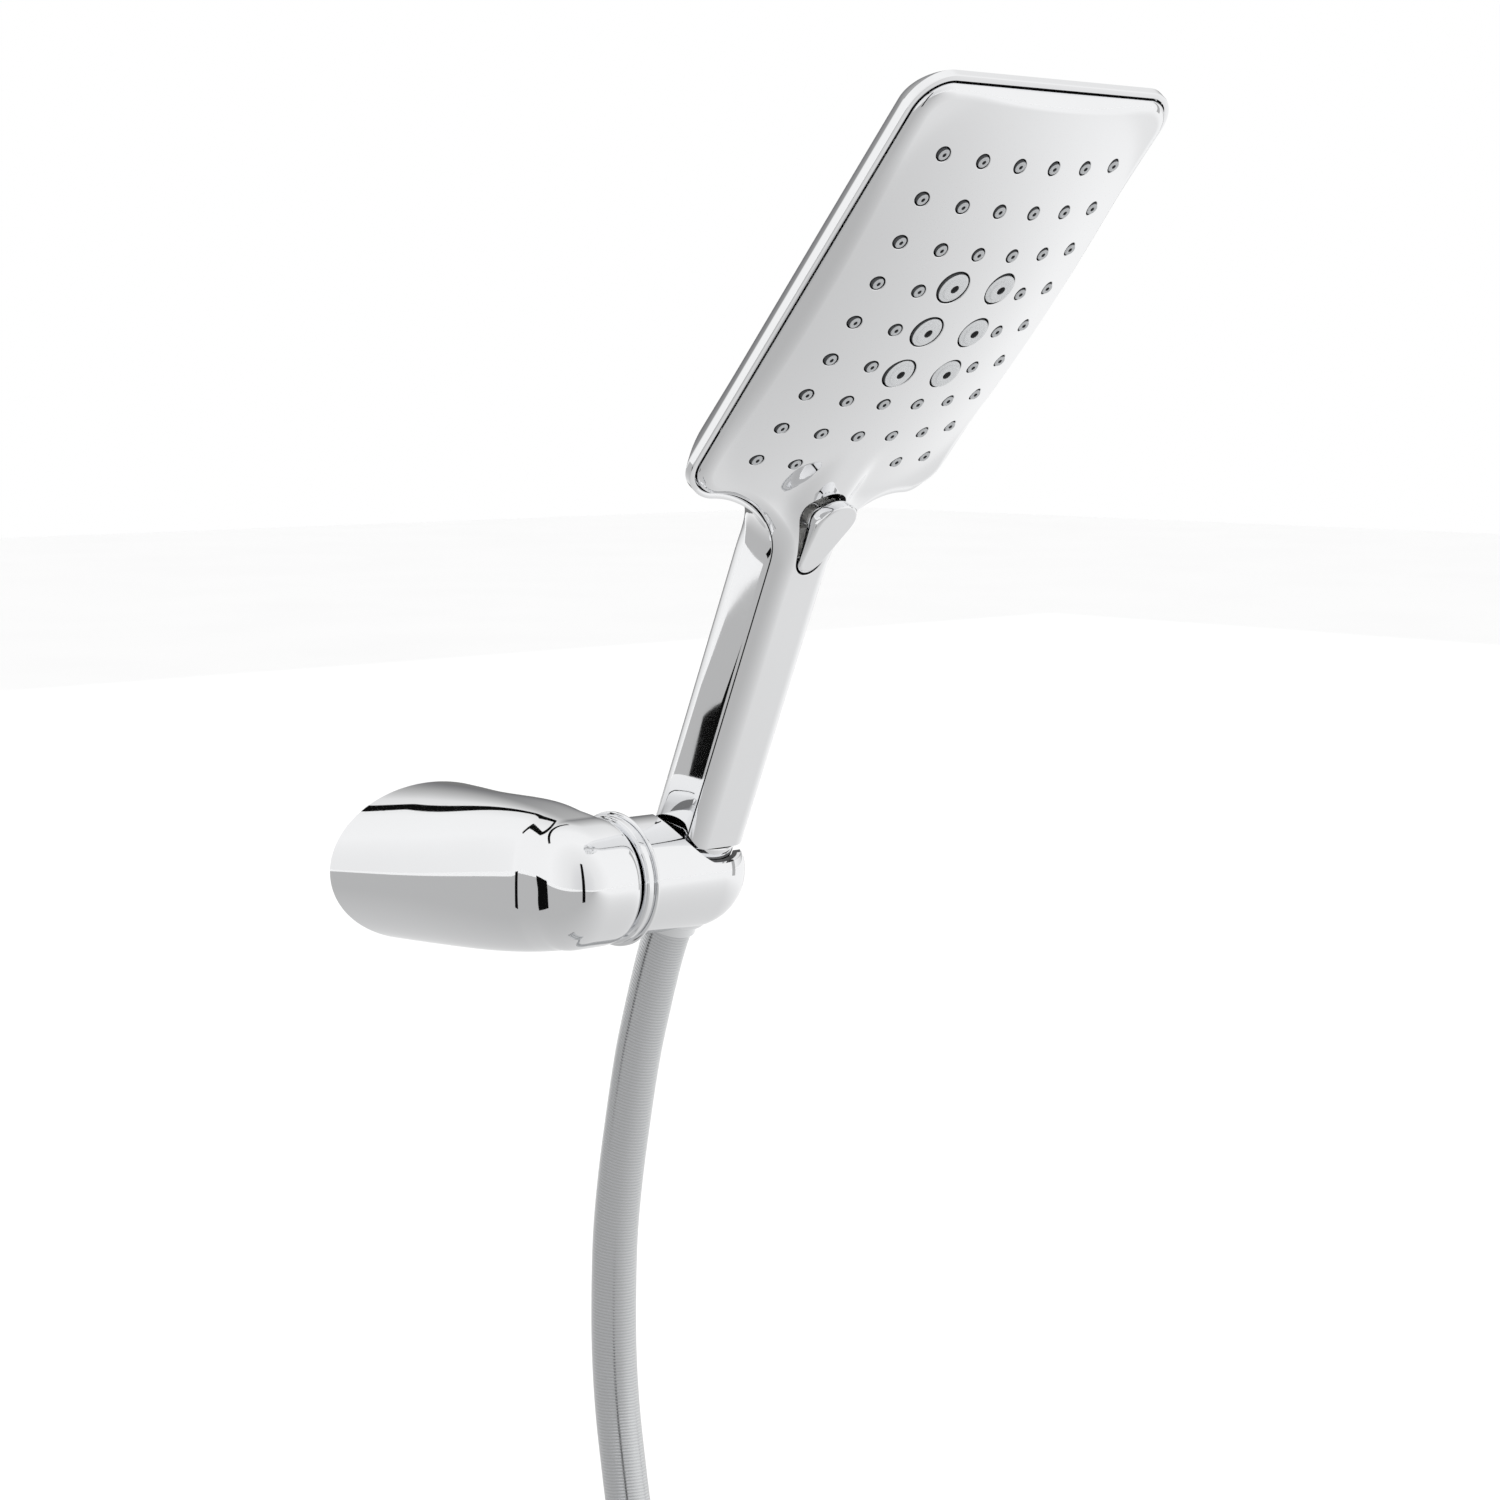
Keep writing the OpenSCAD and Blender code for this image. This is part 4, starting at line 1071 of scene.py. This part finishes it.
# ----------------------------------------------------- the CAD nodes' finish
grey_plastic = finish_material("grey_plastic", (0.30, 0.31, 0.32), 0.0, 0.42, 0.07, 170, bump=0.12,
                               mottle=0.06)
hose_end = finish_material("ferrule_plate", (0.86, 0.87, 0.88), 1.0, 0.12, 0.04, 90, bump=0.05, mottle=0.02)
FINISH = {
    chrome: ["union_nut"],
    steel: ["grub_screw", "swivel_axle", "wave_washer", "lock_nut", "chamber_screws", "plunger_spring",
            "button_pin", "inlet_filter"],
    brass: ["inlet_socket", "hose_nipple", "tail_nipple"],
    seal_rubber: ["chamber_gasket", "plunger_seal", "tube_seals", "cone_washer", "union_washer"],
    white_plastic: ["spray_plate", "water_chamber", "valve_body", "selector_disc", "plunger", "water_tube",
                    "flow_regulator"],
    black_plastic: ["holder_liner", "friction_washer", "coil_tie"],
    grey_plastic: ["wall_plate"],
    hose_end: ["upper_ferrule", "lower_ferrule"],
}
for material, names in FINISH.items():
    for name in names:
        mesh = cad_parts[name].data
        mesh.materials.clear()
        mesh.materials.append(material)
for name in ("union_nut", "upper_ferrule", "lower_ferrule", "coil_tie"):
    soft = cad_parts[name].modifiers.new("edge", "BEVEL")
    soft.width, soft.segments, soft.limit_method, soft.angle_limit = 0.0004, 2, "ANGLE", math.radians(35)

# ------------------------------------------------------------------- bodies
for piece, body in ((front, "handset"), (rear, "handset"), (button, "button"), (bracket, "bracket"),
                    (ring, "bracket"), (barrel, "holder"), (cone, "handset")):
    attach(piece, body)
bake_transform(hose)


# ----------------------------------------------------------- floor and light
def plane(name, where, size, look, material):
    """A flat card facing a point."""
    w, h = size[0] / 2, size[1] / 2
    o = mesh_object(name, np.array([(-w, -h, 0), (w, -h, 0), (w, h, 0), (-w, h, 0)]) * 1000, [(0, 1, 2, 3)],
                    [material], flat=True)
    d = Vector(look) - Vector(where)
    o.rotation_mode = "QUATERNION"
    o.rotation_quaternion = d.to_track_quat("Z", "Y")
    o.location = where
    return o


floor_z = float(cad_box[0][2]) - 0.02
pale = finish_material("studio_floor", (0.985, 0.985, 0.985), 0.0, 0.8, 0.05, 3, mottle=0.01)
floor_half = 9000                  # half of the floor's side
floor = mesh_object("floor", [(x * floor_half, y * floor_half, floor_z * 1000)
                              for x, y in ((-1, -1), (1, -1), (1, 1), (-1, 1))],
                    [(0, 1, 2, 3)], [pale], flat=True)

bpy.context.scene.view_settings.view_transform = "Standard"
world = bpy.data.worlds.new("studio")
bpy.context.scene.world = world
world.use_nodes = True
nodes, link = world.node_tree.nodes, world.node_tree.links
background = nodes["Background"]
background.inputs["Strength"].default_value = 1.0
where = nodes.new("ShaderNodeTexCoord")
toward = nodes.new("ShaderNodeVectorMath")
toward.operation = "DOT_PRODUCT"
toward.inputs[1].default_value = (0.63, 0.77, -0.05)
link.new(where.outputs["Generated"], toward.inputs[0])
ramp = nodes.new("ShaderNodeValToRGB")
span = nodes.new("ShaderNodeMapRange")
span.inputs["From Min"].default_value = -1
span.inputs["From Max"].default_value = 1
link.new(toward.outputs["Value"], span.inputs["Value"])
link.new(span.outputs["Result"], ramp.inputs["Fac"])
e = ramp.color_ramp.elements
e[0].position, e[0].color = 0.0, (0.72, 0.72, 0.73, 1)
e[1].position, e[1].color = 1.0, (0.14, 0.14, 0.15, 1)
for at, tone in ((0.12, 0.86), (0.40, 0.98), (0.66, 0.96), (0.86, 0.80), (0.95, 0.42)):
    k = e.new(at)
    k.color = (tone, tone, tone, 1)
path = nodes.new("ShaderNodeLightPath")
seen = nodes.new("ShaderNodeMix")
seen.data_type = "RGBA"
link.new(path.outputs["Is Glossy Ray"], seen.inputs["Factor"])
link.new(ramp.outputs["Color"], seen.inputs["B"])
seen.inputs["A"].default_value = (1, 1, 1, 1)
link.new(seen.outputs["Result"], background.inputs["Color"])


def card_material(name, tone):
    m, n, link, _ = principled(name, (tone, tone, tone), 0.0, 0.9)
    glow = n.new("ShaderNodeEmission")
    glow.inputs["Color"].default_value = (tone, tone, tone, 1)
    glow.inputs["Strength"].default_value = 1.0
    link.new(glow.outputs["Emission"], n["Material Output"].inputs["Surface"])
    return m


black_card = card_material("card_black", 0.004)
grey_card = card_material("card_grey", 0.45)
shade_card = card_material("card_shade", 0.2)


def fading_card():
    """A card that darkens across itself."""
    m = card_material("card_fade", 1.0)
    n, link = m.node_tree.nodes, m.node_tree.links
    place_ = n.new("ShaderNodeTexCoord")
    parts_ = n.new("ShaderNodeSeparateXYZ")
    tone = n.new("ShaderNodeMapRange")
    tone.interpolation_type = "SMOOTHSTEP"
    tone.inputs["From Min"].default_value = -1.1
    tone.inputs["From Max"].default_value = 1.2
    tone.inputs["To Min"].default_value = 0.97
    tone.inputs["To Max"].default_value = 0.5
    link.new(place_.outputs["Object"], parts_.inputs["Vector"])
    link.new(parts_.outputs["X"], tone.inputs["Value"])
    link.new(tone.outputs["Result"], n["Emission"].inputs["Strength"])
    return m


fade_card = fading_card()


def card(name, where, size, look, material):
    """A card that only polished surfaces show."""
    o = plane(name, where, size, look, material)
    o.visible_camera = o.visible_diffuse = o.visible_shadow = o.visible_transmission = False
    return o


def area(name, where, size, look, power):
    data = bpy.data.lights.new(name, "AREA")
    data.shape, data.size, data.size_y, data.energy = "RECTANGLE", size[0], size[1], power
    o = bpy.data.objects.new(name, data)
    bpy.context.scene.collection.objects.link(o)
    o.location = where
    o.rotation_mode = "QUATERNION"
    o.rotation_quaternion = (Vector(look) - Vector(where)).to_track_quat("-Z", "Y")
    return o


middle = (0.02, -0.09, 0.10)
near_bracket = (0.0, -0.06, 0.0)
card("card_back_left", (-0.40, 0.27, -0.10), (0.12, 0.16), near_bracket, black_card)
card("card_back_high", (-0.05, 0.80, 0.95), (1.6, 0.10), near_bracket, black_card)
card("card_camera", (-0.66, -0.87, 0.0), (0.17, 1.9), middle, black_card)
card("card_behind", (1.25, 1.45, -0.25), (0.9, 1.1), middle, shade_card)
card("card_right", (1.9, -0.9, 0.2), (0.35, 2.4), middle, grey_card)
card("card_under", (0.5, -0.3, floor_z + 0.01), (9, 9), (0.5, -0.3, 1.0), fade_card)
for light in (area("key", (-1.3, -1.5, 1.6), (1.4, 1.4), middle, 10),
              area("fill", (1.5, -1.2, 0.6), (1.2, 1.6), middle, 5)):
    light.visible_glossy = False
